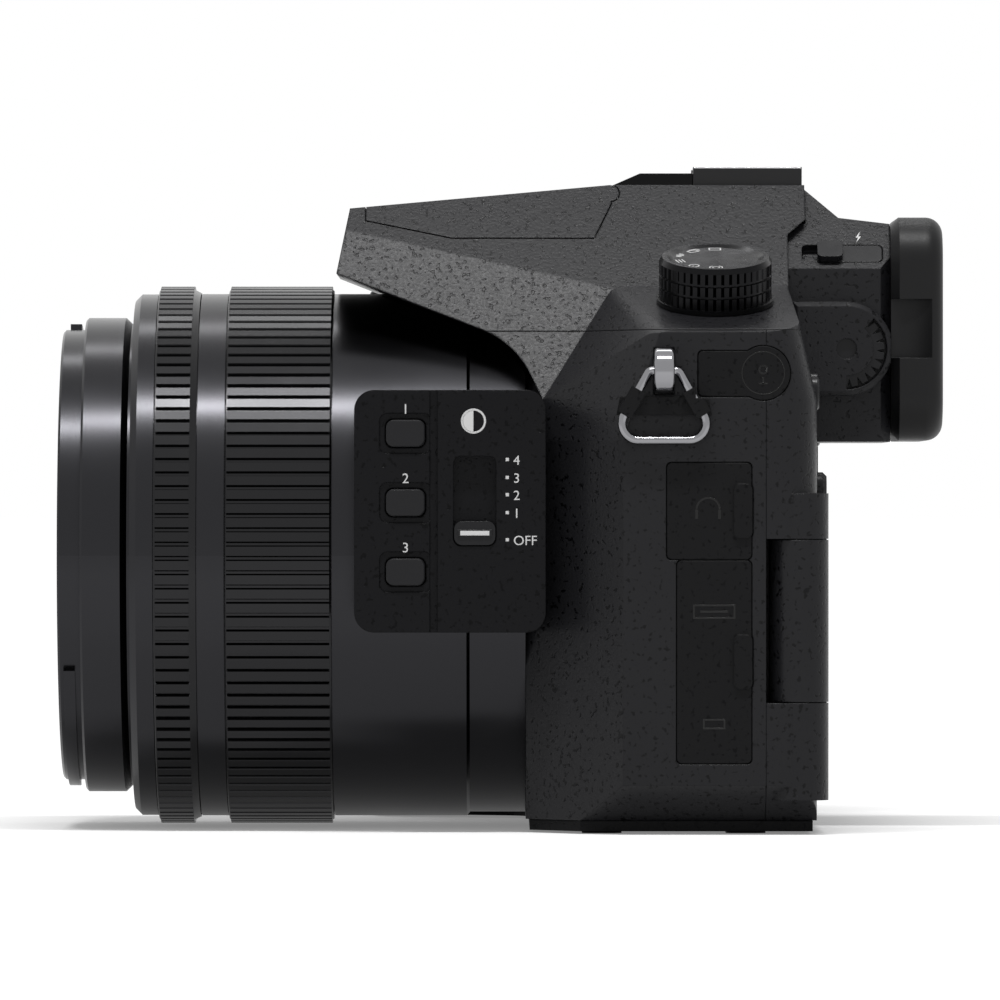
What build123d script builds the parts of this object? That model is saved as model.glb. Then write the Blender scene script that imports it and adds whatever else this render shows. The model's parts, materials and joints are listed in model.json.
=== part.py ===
"""Bridge camera with a fixed zoom lens, as an assembly of separate pieces.

Millimetres. The lens looks along -Y, +X is the user's left hand and +Z is up. The origin is the mouth
of the tripod socket in the base, straight under the lens axis.
"""

import os
from math import asin, atan, cos, degrees, pi, radians, sin, tan

from build123d import *

# Body: overall sizes and the planes that its pieces meet at
BODY_FRONT = -23.1
BODY_DEPTH = 43.9
LEFT_WIDTH = 52.0
RIGHT_WIDTH = 85.6
SIDE_TOP = 75.6
WALL = 2.4
BACK_WALL = 5.2
BASE_THICKNESS = 1.6
COVER_PARTING = 13.0
BODY_BACK = BODY_FRONT + BODY_DEPTH

# Clearances: a turning fit, a sliding fit, a gap between bodies, pieces laid together, a cutter's overrun
RUNNING_GAP = 0.05
SLIDING_GAP = 0.15
FREE_GAP = 0.3
SEAT_GAP = 0.05
OVERRUN = 1.0

# Left shoulder: a slanted front corner, a sloping deck and a bevelled foot
SLANT_DEPTH = 14.6
SLANT_CREASE_HEIGHT = 59.0
SHOULDER_EDGE_INSET = 1.0
SHOULDER_EDGE_DEPTH = 19.4
DECK_TILT = 15.5
FOOT_BEVEL_HEIGHT = 5.4
FOOT_BEVEL_WIDTH = 7.0
BACK_LEAN = 2.4
BACK_LEAN_RISE = 10.6
BACK_LEAN_HEIGHT = 65.0
BACK_ROUND = 6.0
BASE_TOP = BASE_THICKNESS + SEAT_GAP

# Hump over the lens: profile seen from the side, and the two facets of each flank
HUMP_FRONT = -50.0
HUMP_FRONT_TOP = 94.7
HUMP_TOP = 98.4
HUMP_LEVEL_START = -10.0
HUMP_BACK = 19.75
HUMP_WAIST = 17.0
WAIST_TOP = 90.6
WAIST_RISE = 2.4
BROW_OVERHANG = 2.0
BROW_DROP = 10.1
RIDGE_FRONT_HALF = 16.5
RIDGE_BACK_HALF = 12.5
FLANK_SLOPE = 0.84
FLANK_CREASE_DROP_FRONT = 3.6
FLANK_CREASE_DROP_BACK = 16.2
SKIRT_HALF = 36.5
SKIRT_DEPTH = 2.6
SKIRT_HEIGHT = 65.2
KNEE_LEAD = 1.6
KNEE_RISE = 8.8
SKIRT_KNEE = (BODY_FRONT - KNEE_LEAD, SKIRT_HEIGHT + KNEE_RISE)
SKIRT_ROUND = 14.0
CREASE_ROUND = 4.0

# Right side: deck, hand grip and their roundings
RIGHT_DECK = 82.0
BLOCK_LAP = 12.0
GRIP_REACH = 24.4
GRIP_FRONT_TOP = 79.0
GRIP_ROOT = -44.0
GRIP_INNER = -56.5
GRIP_OUTER = -76.0
GRIP_SHOULDER = -30.0
GRIP_ROOT_ROUND = 6.0
GRIP_NOSE_ROUND = 8.0
GRIP_SIDE_ROUND = 13.0
GRIP_SKIN = 1.2
GRIP_FRONT = BODY_FRONT - GRIP_REACH

# Lens: axis height, radii, and the lengths of its stages from the body forward
AXIS_HEIGHT = 41.55
BARREL_RADIUS = 40.3
ROOT_RADIUS = 39.7
SEAT_RADIUS = 38.9
BORE_RADIUS = 34.2
SPIGOT_RADIUS = 36.0
SLANT_WIDTH = LEFT_WIDTH - SPIGOT_RADIUS
TAIL_RADIUS = 30.0
TAIL_LENGTH = 8.65
RING_RADIUS = 41.45
ROOT_LENGTH = 8.5
BARREL_LENGTH = 21.0
ZOOM_RING_LENGTH = 16.1
BAND_LENGTH = 4.4
CONTROL_RING_LENGTH = 6.4
TRIM_LENGTH = 3.7
TRIM_RADIUS = 40.25
HOOD_GROOVE = 0.5
HOOD_RING_LENGTH = 7.1
HOOD_RING_RADIUS = 36.6
LUG_SWEEP = 59.0
RIM_LENGTH = 3.5
RIM_RADIUS = 34.75
FILTER_RADIUS = 33.5
FILTER_LENGTH = 5.5
RIB_COUNT = 120
RIB_DEPTH = 0.5
RIB_TOP_SHARE = 0.64
RIB_FLOOR_SHARES = (0.74, 0.9)
ROOT_FRONT = BODY_FRONT - ROOT_LENGTH
ZOOM_RING_BACK = ROOT_FRONT - BARREL_LENGTH
ZOOM_RING_FRONT = ZOOM_RING_BACK - ZOOM_RING_LENGTH
CONTROL_RING_BACK = ZOOM_RING_FRONT - BAND_LENGTH
CONTROL_RING_FRONT = CONTROL_RING_BACK - CONTROL_RING_LENGTH
TRIM_FRONT = CONTROL_RING_FRONT - TRIM_LENGTH
HOOD_RING_BACK = TRIM_FRONT - HOOD_GROOVE
HOOD_RING_FRONT = HOOD_RING_BACK - HOOD_RING_LENGTH
RIM_FRONT = HOOD_RING_FRONT - RIM_LENGTH

# Control panel on the side of the lens, with three buttons and a five-place switch
PANEL_FACE = 46.6
PANEL_FRONT = -49.0
PANEL_LENGTH = 28.9
PANEL_LOW = 30.0
PANEL_HIGH = 66.6
PANEL_ROUND = 3.0
PANEL_STEP = 0.5
PANEL_STEP_START = 12.6
PANEL_GROOVE = 1.2
FN_WIDTH = 5.9
FN_HEIGHT = 4.1
FN_ROUND = 1.2
FN_START = 4.8
FN_LOWEST = 37.1
FN_PITCH = 10.45
FN_COUNT = 3
FN_STAND = 0.6
FN_STEM = 2.6
FN_DISH = 1.0
FN_DISH_DEPTH = 0.4
FN_TRAVEL = 0.4
SWITCH_START = 15.1
SWITCH_WIDTH = 6.2
SWITCH_LOW = 43.2
SWITCH_HIGH = 56.5
SWITCH_KNOB_HEIGHT = 3.6
SWITCH_DEPTH = 2.0
SWITCH_STAND = 0.5

# Inside the lens: cells, rods, iris and glass
ROD_RADIUS = 1.2
ROD_OFFSET = 31.0
ROD_FRONT_INSET = 4.0
CELL_RADIUS = 29.5
CELL_LENGTH = 9.0
CELL_WALL = 3.4
EAR_RADIUS = 2.2
IRIS_SHARE = 0.47
IRIS_LENGTH = 4.0
IRIS_RADIUS = 11.0
ZOOM_TRAVEL = 12.0
GLASS_RADIUS = 30.2
GLASS_FACE_RADIUS = 28.8
GLASS_EDGE = 4.5
GLASS_DOME = 3.4
GLASS_LIP = 0.8

# Doors over the sockets on the left side
DOOR_THICKNESS = 1.6
DOOR_ROUND = 0.8
MIC_DOOR = ((2.8, 65.6), (12.6, 72.4))
MIC_CAP = (12.57, 69.1)
MIC_CAP_RADIUS = 4.06
PHONES_DOOR = ((-1.9, 41.1), (10.8, 55.6))
DATA_DOOR = ((-0.4, 10.4), (10.8, 40.9))
TAB_LENGTH = 8.2
TAB_WIDTH = 2.8
TAB_STAND = 0.5
JACK_RADIUS = 2.9
JACK_BORE = 1.75
SOCKET_HALF_WIDTH = 1.6
SOCKET_HALF_HEIGHT = 3.8
SOCKET_WALL = 0.5

# Strap lugs, rings and their guards
LUG_Y = -2.35
LUG_Z = 69.4
LUG_REACH = 1.9
LUG_THICKNESS = 3.06
LUG_RADIUS = 3.5
LUG_HOLE = 1.5
LUG_EYE_RISE = 0.8
LUG_EDGE = 0.6
RING_WIRE = 0.65
RING_TOP_HALF = 2.2
RING_FOOT_HALF = 8.1
RING_DROP = 10.4
RING_ROUND = 2.5
RING_HEAD_ROUND = 0.9
GUARD_THICKNESS = 0.7
GUARD_WALL = 0.55
GUARD_WING = 4.4
GUARD_LOW_SHARE = 0.64
GUARD_DOOR_GAP = 0.4

# Tilting monitor on its side hinge
HINGE_INSET = 4.7
HINGE_Y = 18.02
HINGE_RADIUS = 4.5
HINGE_PIN = 1.5
HINGE_PIN_LENGTH = 2.5
HINGE_LOW = 19.6
HINGE_HIGH = 44.0
EAR_LOW = 4.8
EAR_HIGH = 51.0
MONITOR_WIDTH = 75.5
MONITOR_LOW = 4.8
MONITOR_HIGH = 54.2
MONITOR_FRONT = 18.1
MONITOR_THICKNESS = 4.3
MONITOR_ROUND = 2.0
MONITOR_EDGE_GAP = 0.6
SCREEN_SIDE_BORDER = 4.75
SCREEN_END_BORDER = 2.7
SCREEN_THICKNESS = 1.0
HINGE_X = LEFT_WIDTH - HINGE_INSET
MONITOR_LEFT = HINGE_X - HINGE_RADIUS - MONITOR_EDGE_GAP
MONITOR_RIGHT = MONITOR_LEFT - MONITOR_WIDTH

# Eyepiece: housing, eyecup, sight dial and the slide that releases the flash
EVF_HALF = 21.0
EVF_FRONT = 17.0
EVF_BACK = 32.7
EVF_LOW = 58.9
EVF_HIGH = 92.35
EVF_FACET_START = 85.4
WEDGE_TOP = 97.7
WEDGE_FOOT = (24.9, 93.3)
EVF_ROUND = 1.5
TUNNEL_HALF = 12.5
TUNNEL_LOW = 66.0
TUNNEL_HIGH = 85.0
TUNNEL_ROUND = 3.0
TUNNEL_WALL = 3.0
EYEPIECE_INSET = 2.2
EYEPIECE_THICKNESS = 2.4
EYECUP_HALF = 23.4
EYECUP_LOW = 59.1
EYECUP_HIGH = 93.3
EYECUP_DEPTH = 8.0
EYECUP_ROUND = 7.0
EYECUP_LIP = 2.6
EYECUP_DISH_RADIUS = 9.0
EYECUP_DISH_DEPTH = 1.6
DIOPTER_Y = 25.9
DIOPTER_Z = 73.1
DIOPTER_RADIUS = 5.9
DIOPTER_THICKNESS = 2.2
DIOPTER_TEETH = 22
DIOPTER_TOOTH = 1.3
DIOPTER_CAP = 0.6
DIOPTER_CAP_RADIUS = 4.1
DIOPTER_WINDOW = (-90.0, 48.0)
DIOPTER_BOSS_RADIUS = 7.1
DIOPTER_BOSS_REACH = 8.1
DIOPTER_BOSS_STAND = 3.0
DIOPTER_BOSS_EDGE = 0.6
RELEASE_START = 19.2
RELEASE_LENGTH = 12.4
RELEASE_WIDTH = 3.6
RELEASE_HEIGHT = 87.7
RELEASE_SLIDE = 9.9
RELEASE_GRIP = 3.9
RELEASE_DEPTH = 1.4
RELEASE_STAND = 1.3

# Flash head in the hump, hinged at its back
FLASH_SEAM = ((-47.5, 92.8), (-34.35, 90.1), (-12.6, 90.1))
FLASH_PIVOT_Y = -10.0
FLASH_PIVOT_Z = 97.1
FLASH_HEEL_RADIUS = 1.25
FLASH_HEEL_TOP = 95.4
LAMP_HALF = 13.0
LAMP_FRONT = -45.4
LAMP_LENGTH = 12.0
LAMP_LOW = 85.9
LAMP_GAP = 0.6
LAMP_FRONT_GAP = 1.6
WINDOW_HEIGHT = 5.4
WINDOW_HALF = 11.5
WINDOW_THICKNESS = 1.0

# Accessory shoe and the microphones' hood in front of it
SHOE_FRONT = 2.7
SHOE_LENGTH = 16.7
SHOE_INNER_HALF = 9.35
SHOE_OPENING_HALF = 6.25
SHOE_SIDE = 1.4
SHOE_BASE = 0.6
SHOE_SLOT = 2.05
SHOE_LIP = 0.75
HOOD_HALF = 8.0
HOOD_FRONT = -9.8
HOOD_KNEE = -5.45
HOOD_RISE = 1.9

# Dials and buttons on the top
DRIVE_X = 35.2
DRIVE_Y = 5.65
DRIVE_RADIUS = 8.9
DRIVE_HEIGHT = 7.1
MODE_X = -41.0
MODE_Y = 4.0
MODE_RADIUS = 10.4
MODE_HEIGHT = 6.2
KNURL_TEETH = 44
KNURL_BANDS = 3
KNURL_GROOVE = 0.4
KNURL_DEPTH = 0.35
KNURL_TOP_SHARE = 0.6
KNURL_FOOT_SHARE = 0.8
DIAL_FLANGE = 0.7
DIAL_RIM = 0.8
DIAL_DISH = 0.35
SPINDLE_RADIUS = 2.4
SPINDLE_LENGTH = 2.0
LEVER_RADIUS = 11.6
LEVER_THICKNESS = 2.2
LEVER_TAB_REACH = 4.2
LEVER_TAB_WIDTH = 5.0
SHUTTER_X = -67.0
SHUTTER_Y = -33.5
SHUTTER_RADIUS = 5.8
SHUTTER_HEIGHT = 4.0
SHUTTER_TRAVEL = 1.0
SHUTTER_DISH = 0.5
COLLAR_RADIUS = 10.4
COLLAR_HEIGHT = 1.6
ZOOM_LEVER_RADIUS = 9.8
ZOOM_LEVER_BORE = 6.4
ZOOM_LEVER_HEIGHT = 3.2
RECORD_X = -55.0
RECORD_Y = -14.0
RECORD_RADIUS = 3.2
REAR_DIAL_X = -66.0
REAR_DIAL_RADIUS = 8.6
REAR_DIAL_THICKNESS = 3.0
REAR_DIAL_LOW = 77.3
REAR_DIAL_STAND = 1.9

# Buttons on the back
BUTTON_STAND = 0.9
BUTTON_DEPTH = 3.0
BUTTON_TRAVEL = 0.5
BUTTON_EDGE = 0.3
VIEW_PLACE = (36.0, 66.4)
VIEW_RADIUS = 2.85
AF_PLACE = (-33.0, 61.4)
AF_RADIUS = 3.0
AF_LEVER_RADIUS = 6.2
AF_LEVER_THICKNESS = 1.6
PLAY_PLACE = (-47.0, 57.5)
SMALL_RADIUS = 2.7
MENU_SPACE = 7.0
MENU_Z = 46.5
PAD_SPACE = 6.2
PAD_Z = 28.5
PAD_RADIUS = 10.5
PAD_HUB = 4.2
MENU_PLACE = (MONITOR_RIGHT - MENU_SPACE - SMALL_RADIUS, MENU_Z)
PAD_PLACE = (MONITOR_RIGHT - PAD_SPACE - PAD_RADIUS, PAD_Z)

# Thumb rest and grip skin
THUMB_LOW = 40.0
THUMB_HIGH = 72.0
THUMB_INNER = -61.0
THUMB_OUTER = -79.0
THUMB_STAND = 3.0
THUMB_SEAT = 1.0
THUMB_ROUND = 5.0
SKIN_LOW = 6.0
SKIN_HIGH = 62.0
SKIN_START = -47.5

# Base plate, feet, battery door and card door
BASE_INSET = 0.6
FOOT_HEIGHT = 0.4
FOOT_SIZE = (9.0, 6.0)
FOOT_ROUND = 1.5
FOOT_INSET = 16.0
FOOT_FRONT_Y = -11.6
FOOT_BACK_Y = 10.2
SOCKET_RADIUS = 3.175
SOCKET_LENGTH = 5.6
BOSS_RADIUS = 7.0
BATTERY_SIZE = (14.6, 36.0, 46.0)
BATTERY_X = -69.0
BATTERY_Y = -17.0
WELL_WALL = 1.2
WELL_GAP = 0.25
BAY_INSET = 3.0
BAY_BACK = 5.0
BAY_ROOT = -55.5
BAY_DOOR_ROUND = 2.0
LATCH_SIZE = (4.0, 9.0)
LATCH_SPACE = 6.0
LATCH_TRAVEL = 2.4
LATCH_ROOF = 0.5
CARD_DOOR = ((-12.0, 14.0), (11.0, 50.0))
CARD_DOOR_THICKNESS = 2.0
CARD_SIZE = (30.0, 4.6, 28.0)
CARD_SLOT = 2.6

# Frame, sensor and circuit board
PLATE_THICKNESS = 3.0
FRAME_BRIDGE = 2.5
FRAME_RIGHT = -50.0
BOARD_RIGHT = -80.0
SENSOR_PLATE = (44.0, 36.0, 1.6)
SENSOR_CHIP = (17.0, 12.5, 2.0)
BOARD_THICKNESS = 1.2
BOARD_Y = 8.6
BOARD_TOP = 69.0
CHIP_HEIGHT = 1.4


def corner_block(low, high):
    """A box from its lowest to its highest corner."""
    size = [b - a for a, b in zip(low, high)]
    return Pos(*low) * Box(*size, align=Align.MIN)


def outline(*points):
    """A closed flat outline through these points."""
    return Polygon(*points, align=None)


def prism_x(face, low, high):
    """A face drawn in (y, z), pushed along X from low to high."""
    return extrude(Plane.YZ.offset(low) * face, high - low, dir=Axis.X.direction)


def prism_y(face, low, high):
    """A face drawn in (x, z), pushed along Y from low to high."""
    return extrude(Plane.XZ.offset(-low) * face, high - low, dir=Axis.Y.direction)


def prism_z(face, low, high):
    """A face drawn in (x, y), pushed along Z from low to high."""
    return extrude(Plane.XY.offset(low) * face, high - low, dir=Axis.Z.direction)


def panel(low, high, radius):
    """A flat rectangle between two corners, with rounded corners."""
    width, height = high[0] - low[0], high[1] - low[1]
    centre = ((low[0] + high[0]) / 2, (low[1] + high[1]) / 2)
    return Pos(*centre) * RectangleRounded(width, height, radius)


def disc(centre, radius):
    """A flat disc."""
    return Pos(*centre) * Circle(radius)


def lathe(*profile):
    """A solid turned about the local Z axis from (radius, z) points."""
    return revolve(Plane.XZ * outline(*profile), Axis.Z)


def lens_lathe(*profile):
    """A solid turned about the lens axis from (radius, y) points."""
    return Pos(0, 0, AXIS_HEIGHT) * revolve(outline(*profile), Axis.Y)


def cut_off(solid, first, second, third, inside, inset=0):
    """The part of a solid on the inside point's side of a plane, set in by some distance."""
    a, b, c, kept = Vector(first), Vector(second), Vector(third), Vector(inside)
    normal = (b - a).cross(c - a).normalized()
    if normal.dot(kept - a) > 0:
        normal = -normal
    return split(solid, bisect_by=Plane(origin=a - normal * inset, z_dir=normal), keep=Keep.BOTTOM)


def edge_near(solid, point):
    """The edge of a solid that passes nearest to a point."""
    return min(solid.edges(), key=lambda edge: edge.distance_to(Vector(*point)))


def mirrored(solid):
    """The same solid on the other side of the lens."""
    return mirror(solid, about=Plane.YZ)


INSIDE = (LEFT_WIDTH / 3, 0, SIDE_TOP / 2)
SHOULDER_EDGE = (LEFT_WIDTH - SHOULDER_EDGE_INSET, BODY_FRONT + SHOULDER_EDGE_DEPTH, SIDE_TOP)
CREASE_FRONT_Z = HUMP_FRONT_TOP - FLANK_CREASE_DROP_FRONT
CREASE_FRONT = (RIDGE_FRONT_HALF + FLANK_CREASE_DROP_FRONT * FLANK_SLOPE, HUMP_FRONT, CREASE_FRONT_Z)
CREASE_BACK_Z = HUMP_TOP - FLANK_CREASE_DROP_BACK
CREASE_BACK = (RIDGE_BACK_HALF + FLANK_CREASE_DROP_BACK * FLANK_SLOPE, HUMP_LEVEL_START, CREASE_BACK_Z)
SKIRT_CORNER = (SKIRT_HALF, BODY_FRONT + SKIRT_DEPTH, SKIRT_HEIGHT)


def left_block(inset=0):
    """Left half of the body: side, slanted front corner, sloping deck and bevelled foot."""
    low = (0, BODY_FRONT + inset, BASE_TOP + inset)
    high = (LEFT_WIDTH - inset, BODY_BACK - inset, HUMP_TOP)
    solid = corner_block(low, high)
    slant_x = LEFT_WIDTH - SLANT_WIDTH
    slant_front = (slant_x, BODY_FRONT, SLANT_CREASE_HEIGHT)
    slant_side = (LEFT_WIDTH, BODY_FRONT + SLANT_DEPTH, SLANT_CREASE_HEIGHT)
    solid = cut_off(solid, slant_front, slant_side, (slant_x, BODY_FRONT, 0), INSIDE, inset)
    solid = cut_off(solid, slant_front, slant_side, SHOULDER_EDGE, INSIDE, inset)
    edge_x, edge_y, edge_z = SHOULDER_EDGE
    inboard = (0, edge_y, edge_z + edge_x * tan(radians(DECK_TILT)))
    solid = cut_off(solid, SHOULDER_EDGE, inboard, (edge_x, 0, edge_z), INSIDE, inset)
    solid = cut_off(solid, SHOULDER_EDGE, CREASE_BACK, SKIRT_CORNER, INSIDE, inset)
    bevel_top = (LEFT_WIDTH, 0, BASE_TOP + FOOT_BEVEL_HEIGHT)
    bevel_foot = (LEFT_WIDTH - FOOT_BEVEL_WIDTH, 0, BASE_TOP)
    behind = (LEFT_WIDTH, BODY_BACK, BASE_TOP + FOOT_BEVEL_HEIGHT)
    solid = cut_off(solid, bevel_top, bevel_foot, behind, INSIDE, inset)
    solid = lean_back(solid, inset)
    solid = fillet(back_corner(solid, LEFT_WIDTH - inset, BODY_BACK - inset), BACK_ROUND - inset)
    if inset:
        return solid
    brink = [(a + b) / 2 for a, b in zip(SHOULDER_EDGE, CREASE_BACK)]
    return fillet(edge_near(solid, brink), CREASE_ROUND)


def back_corner(solid, side, back):
    """Edges of the back's outer corner: the upright one, and the leaning one above it."""
    corner = []
    for edge in solid.edges():
        middle, reach = edge.center(), edge.bounding_box().size
        if side - middle.X < SEAT_GAP and back - middle.Y < BACK_ROUND and reach.Z > reach.Y:
            corner.append(edge)
    return corner


def lean_back(solid, inset):
    """The upper back leans forward a little."""
    lean_foot = (0, BODY_BACK, BACK_LEAN_HEIGHT)
    lean_side = (LEFT_WIDTH, BODY_BACK, BACK_LEAN_HEIGHT)
    lean_top = (0, BODY_BACK - BACK_LEAN, BACK_LEAN_HEIGHT + BACK_LEAN_RISE)
    return cut_off(solid, lean_foot, lean_side, lean_top, INSIDE, inset)


def grip_outline(inset=0):
    """Right half of the body and the hand grip, seen from above."""
    corners = (
        (BLOCK_LAP, BODY_FRONT),
        (GRIP_ROOT, BODY_FRONT),
        (GRIP_INNER, GRIP_FRONT),
        (GRIP_OUTER, GRIP_FRONT),
        (-RIGHT_WIDTH, GRIP_SHOULDER),
        (-RIGHT_WIDTH, BODY_BACK),
        (BLOCK_LAP, BODY_BACK),
    )
    rounds = {1: GRIP_ROOT_ROUND, 2: GRIP_NOSE_ROUND, 3: GRIP_SIDE_ROUND, 4: GRIP_SIDE_ROUND, 5: BACK_ROUND}
    face = outline(*corners)
    for index, radius in rounds.items():
        corner = Vector(*corners[index])
        vertex = min(face.vertices(), key=lambda v: (Vector(v) - corner).length)
        face = fillet(vertex, radius)
    if inset:
        face = offset(face, -inset)
    return face


def right_block(inset=0):
    """Right half of the body with the hand grip, whose top slopes to the front."""
    solid = prism_z(grip_outline(inset), BASE_TOP + inset, RIGHT_DECK - inset)
    slope_foot = (0, GRIP_FRONT, GRIP_FRONT_TOP)
    slope_top = (0, HUMP_LEVEL_START, RIGHT_DECK)
    side = (-RIGHT_WIDTH, HUMP_LEVEL_START, RIGHT_DECK)
    solid = cut_off(solid, slope_foot, slope_top, side, (0, 0, 0), inset)
    return lean_back(solid, inset)


def hump():
    """Hump that roofs the lens: two facets on each flank and an overhanging brow."""
    profile = (
        (HUMP_FRONT, HUMP_FRONT_TOP),
        (HUMP_LEVEL_START, HUMP_TOP),
        (HUMP_BACK, HUMP_TOP),
        (HUMP_BACK, WAIST_TOP + WAIST_RISE),
        (HUMP_WAIST, WAIST_TOP),
        (HUMP_WAIST, SKIRT_HEIGHT),
        (BODY_FRONT + SKIRT_DEPTH, SKIRT_HEIGHT),
        SKIRT_KNEE,
        (HUMP_FRONT - BROW_OVERHANG, HUMP_FRONT_TOP - BROW_DROP),
    )
    face = outline(*profile)
    knee = min(face.vertices(), key=lambda v: (Vector(v) - Vector(*SKIRT_KNEE)).length)
    solid = prism_x(fillet(knee, SKIRT_ROUND), -SKIRT_HALF, SKIRT_HALF)
    middle = (0, HUMP_LEVEL_START, SIDE_TOP)
    for side in (1, -1):
        ridge_front = (side * RIDGE_FRONT_HALF, HUMP_FRONT, HUMP_FRONT_TOP)
        ridge_back = (side * RIDGE_BACK_HALF, HUMP_LEVEL_START, HUMP_TOP)
        crease_front = (side * CREASE_FRONT[0], *CREASE_FRONT[1:])
        crease_back = (side * CREASE_BACK[0], *CREASE_BACK[1:])
        skirt = (side * SKIRT_CORNER[0], *SKIRT_CORNER[1:])
        solid = cut_off(solid, ridge_front, ridge_back, crease_back, middle)
        solid = cut_off(solid, crease_front, crease_back, skirt, middle)
        crease = edge_near(solid, [(a + b) / 2 for a, b in zip(crease_front, crease_back)])
        solid = fillet(crease, CREASE_ROUND)
    return solid


def hump_hollow():
    """Room under the hump behind the flash."""
    top_half = RIDGE_BACK_HALF - WALL
    top = HUMP_TOP - WALL
    drop = top - SIDE_TOP + OVERRUN
    foot_half = top_half + (drop - WALL) * FLANK_SLOPE
    face = outline((top_half, top), (foot_half, top - drop), (-foot_half, top - drop), (-top_half, top))
    start = FLASH_PIVOT_Y + FLASH_HEEL_RADIUS + WALL
    return prism_y(face, start, EVF_FRONT - WALL)


def body_form():
    """Outside of the whole body, with the notch that the lens lies in."""
    form = left_block() + right_block() + hump()
    notch_radius = BARREL_RADIUS + FREE_GAP
    notch = Pos(0, HUMP_FRONT - BROW_OVERHANG - OVERRUN, AXIS_HEIGHT) * turned_y(notch_radius, BODY_FRONT)
    return form - notch


def turned_y(radius, end):
    """A cylinder along Y from a little before the brow to some end."""
    length = end - HUMP_FRONT + BROW_OVERHANG + OVERRUN
    return Rot(-90, 0, 0) * Cylinder(radius, length, align=(Align.CENTER, Align.CENTER, Align.MIN))


def cylinder_x(centre, radius, low, high):
    """A cylinder along X about a (y, z) centre."""
    return prism_x(disc(centre, radius), low, high)


def cylinder_y(centre, radius, low, high):
    """A cylinder along Y about an (x, z) centre."""
    return prism_y(disc(centre, radius), low, high)


def cylinder_z(centre, radius, low, high):
    """A cylinder along Z about an (x, y) centre."""
    return prism_z(disc(centre, radius), low, high)


def body_hollow():
    """Room inside the covers, with solid corners round the monitor hinge."""
    back = BODY_BACK - BACK_WALL
    room = left_block(WALL) + right_block(WALL)
    room &= corner_block((-RIGHT_WIDTH, GRIP_FRONT, 0), (LEFT_WIDTH, back, HUMP_TOP))
    corner_x = HINGE_X - HINGE_RADIUS - 2 * WALL
    hinge_corner = corner_block((corner_x, COVER_PARTING - WALL, 0), (LEFT_WIDTH, back + OVERRUN, SIDE_TOP))
    return room - hinge_corner + hump_hollow()


def flash_outline(gap=0):
    """Seam of the flash head in (y, z), widened by some gap."""
    front, knee, heel = FLASH_SEAM
    top = HUMP_TOP + OVERRUN
    face = outline(
        (front[0], top),
        front,
        knee,
        heel,
        (FLASH_PIVOT_Y, FLASH_HEEL_TOP),
        (FLASH_PIVOT_Y, top),
    )
    face += disc((FLASH_PIVOT_Y, FLASH_PIVOT_Z), FLASH_HEEL_RADIUS)
    if gap:
        face = offset(face, gap)
    return face


def lamp_block(gap=0, front_gap=0):
    """Block under the flash head that carries the lamp."""
    low = (-LAMP_HALF - gap, LAMP_FRONT - front_gap, LAMP_LOW - gap)
    high = (LAMP_HALF + gap, LAMP_FRONT + LAMP_LENGTH + gap, FLASH_PIVOT_Z)
    return corner_block(low, high)


def flash_well():
    """Recess in the top cover for the flash head and its lamp."""
    head = prism_x(flash_outline(SLIDING_GAP), -SKIRT_HALF, SKIRT_HALF)
    return head + lamp_block(LAMP_GAP, LAMP_FRONT_GAP)


def mic_hood():
    """Raised hood for the microphones in front of the accessory shoe."""
    top = HUMP_TOP + HOOD_RISE
    face = outline(
        (HOOD_FRONT, HUMP_TOP - WALL),
        (HOOD_FRONT, HUMP_TOP),
        (HOOD_KNEE, top),
        (SHOE_FRONT, top),
        (SHOE_FRONT, HUMP_TOP - WALL),
    )
    return prism_x(face, -HOOD_HALF, HOOD_HALF)


def deck_place(x, y):
    """Local frame on the sloping left deck, with its Z square to the deck."""
    height = SIDE_TOP + (SHOULDER_EDGE[0] - x) * tan(radians(DECK_TILT))
    return Pos(x, y, height) * Rot(0, DECK_TILT, 0)


def grip_place(x, y):
    """Local frame on the sloping top of the grip."""
    run = HUMP_LEVEL_START - GRIP_FRONT
    slope = (RIGHT_DECK - GRIP_FRONT_TOP) / run
    height = GRIP_FRONT_TOP + (y - GRIP_FRONT) * slope
    return Pos(x, y, height) * Rot(degrees(atan(slope)), 0, 0)


def flank_place(y):
    """Local frame on the upper left facet of the eyepiece housing: X along the camera, Z outward."""
    facet_x = EVF_HALF - (RELEASE_HEIGHT - EVF_FACET_START) * FLANK_SLOPE
    normal = Vector(1, 0, FLANK_SLOPE).normalized()
    return Plane(origin=(facet_x, y, RELEASE_HEIGHT), x_dir=(0, 1, 0), z_dir=normal)


def toothed(radius, teeth, depth):
    """A round outline with shallow vee grooves."""
    points = []
    for index in range(teeth):
        for share, reach in ((0, radius), (KNURL_TOP_SHARE, radius), (KNURL_FOOT_SHARE, radius - depth)):
            turn = 2 * pi * (index + share) / teeth
            points.append((reach * cos(turn), reach * sin(turn)))
    return outline(*points)


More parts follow.
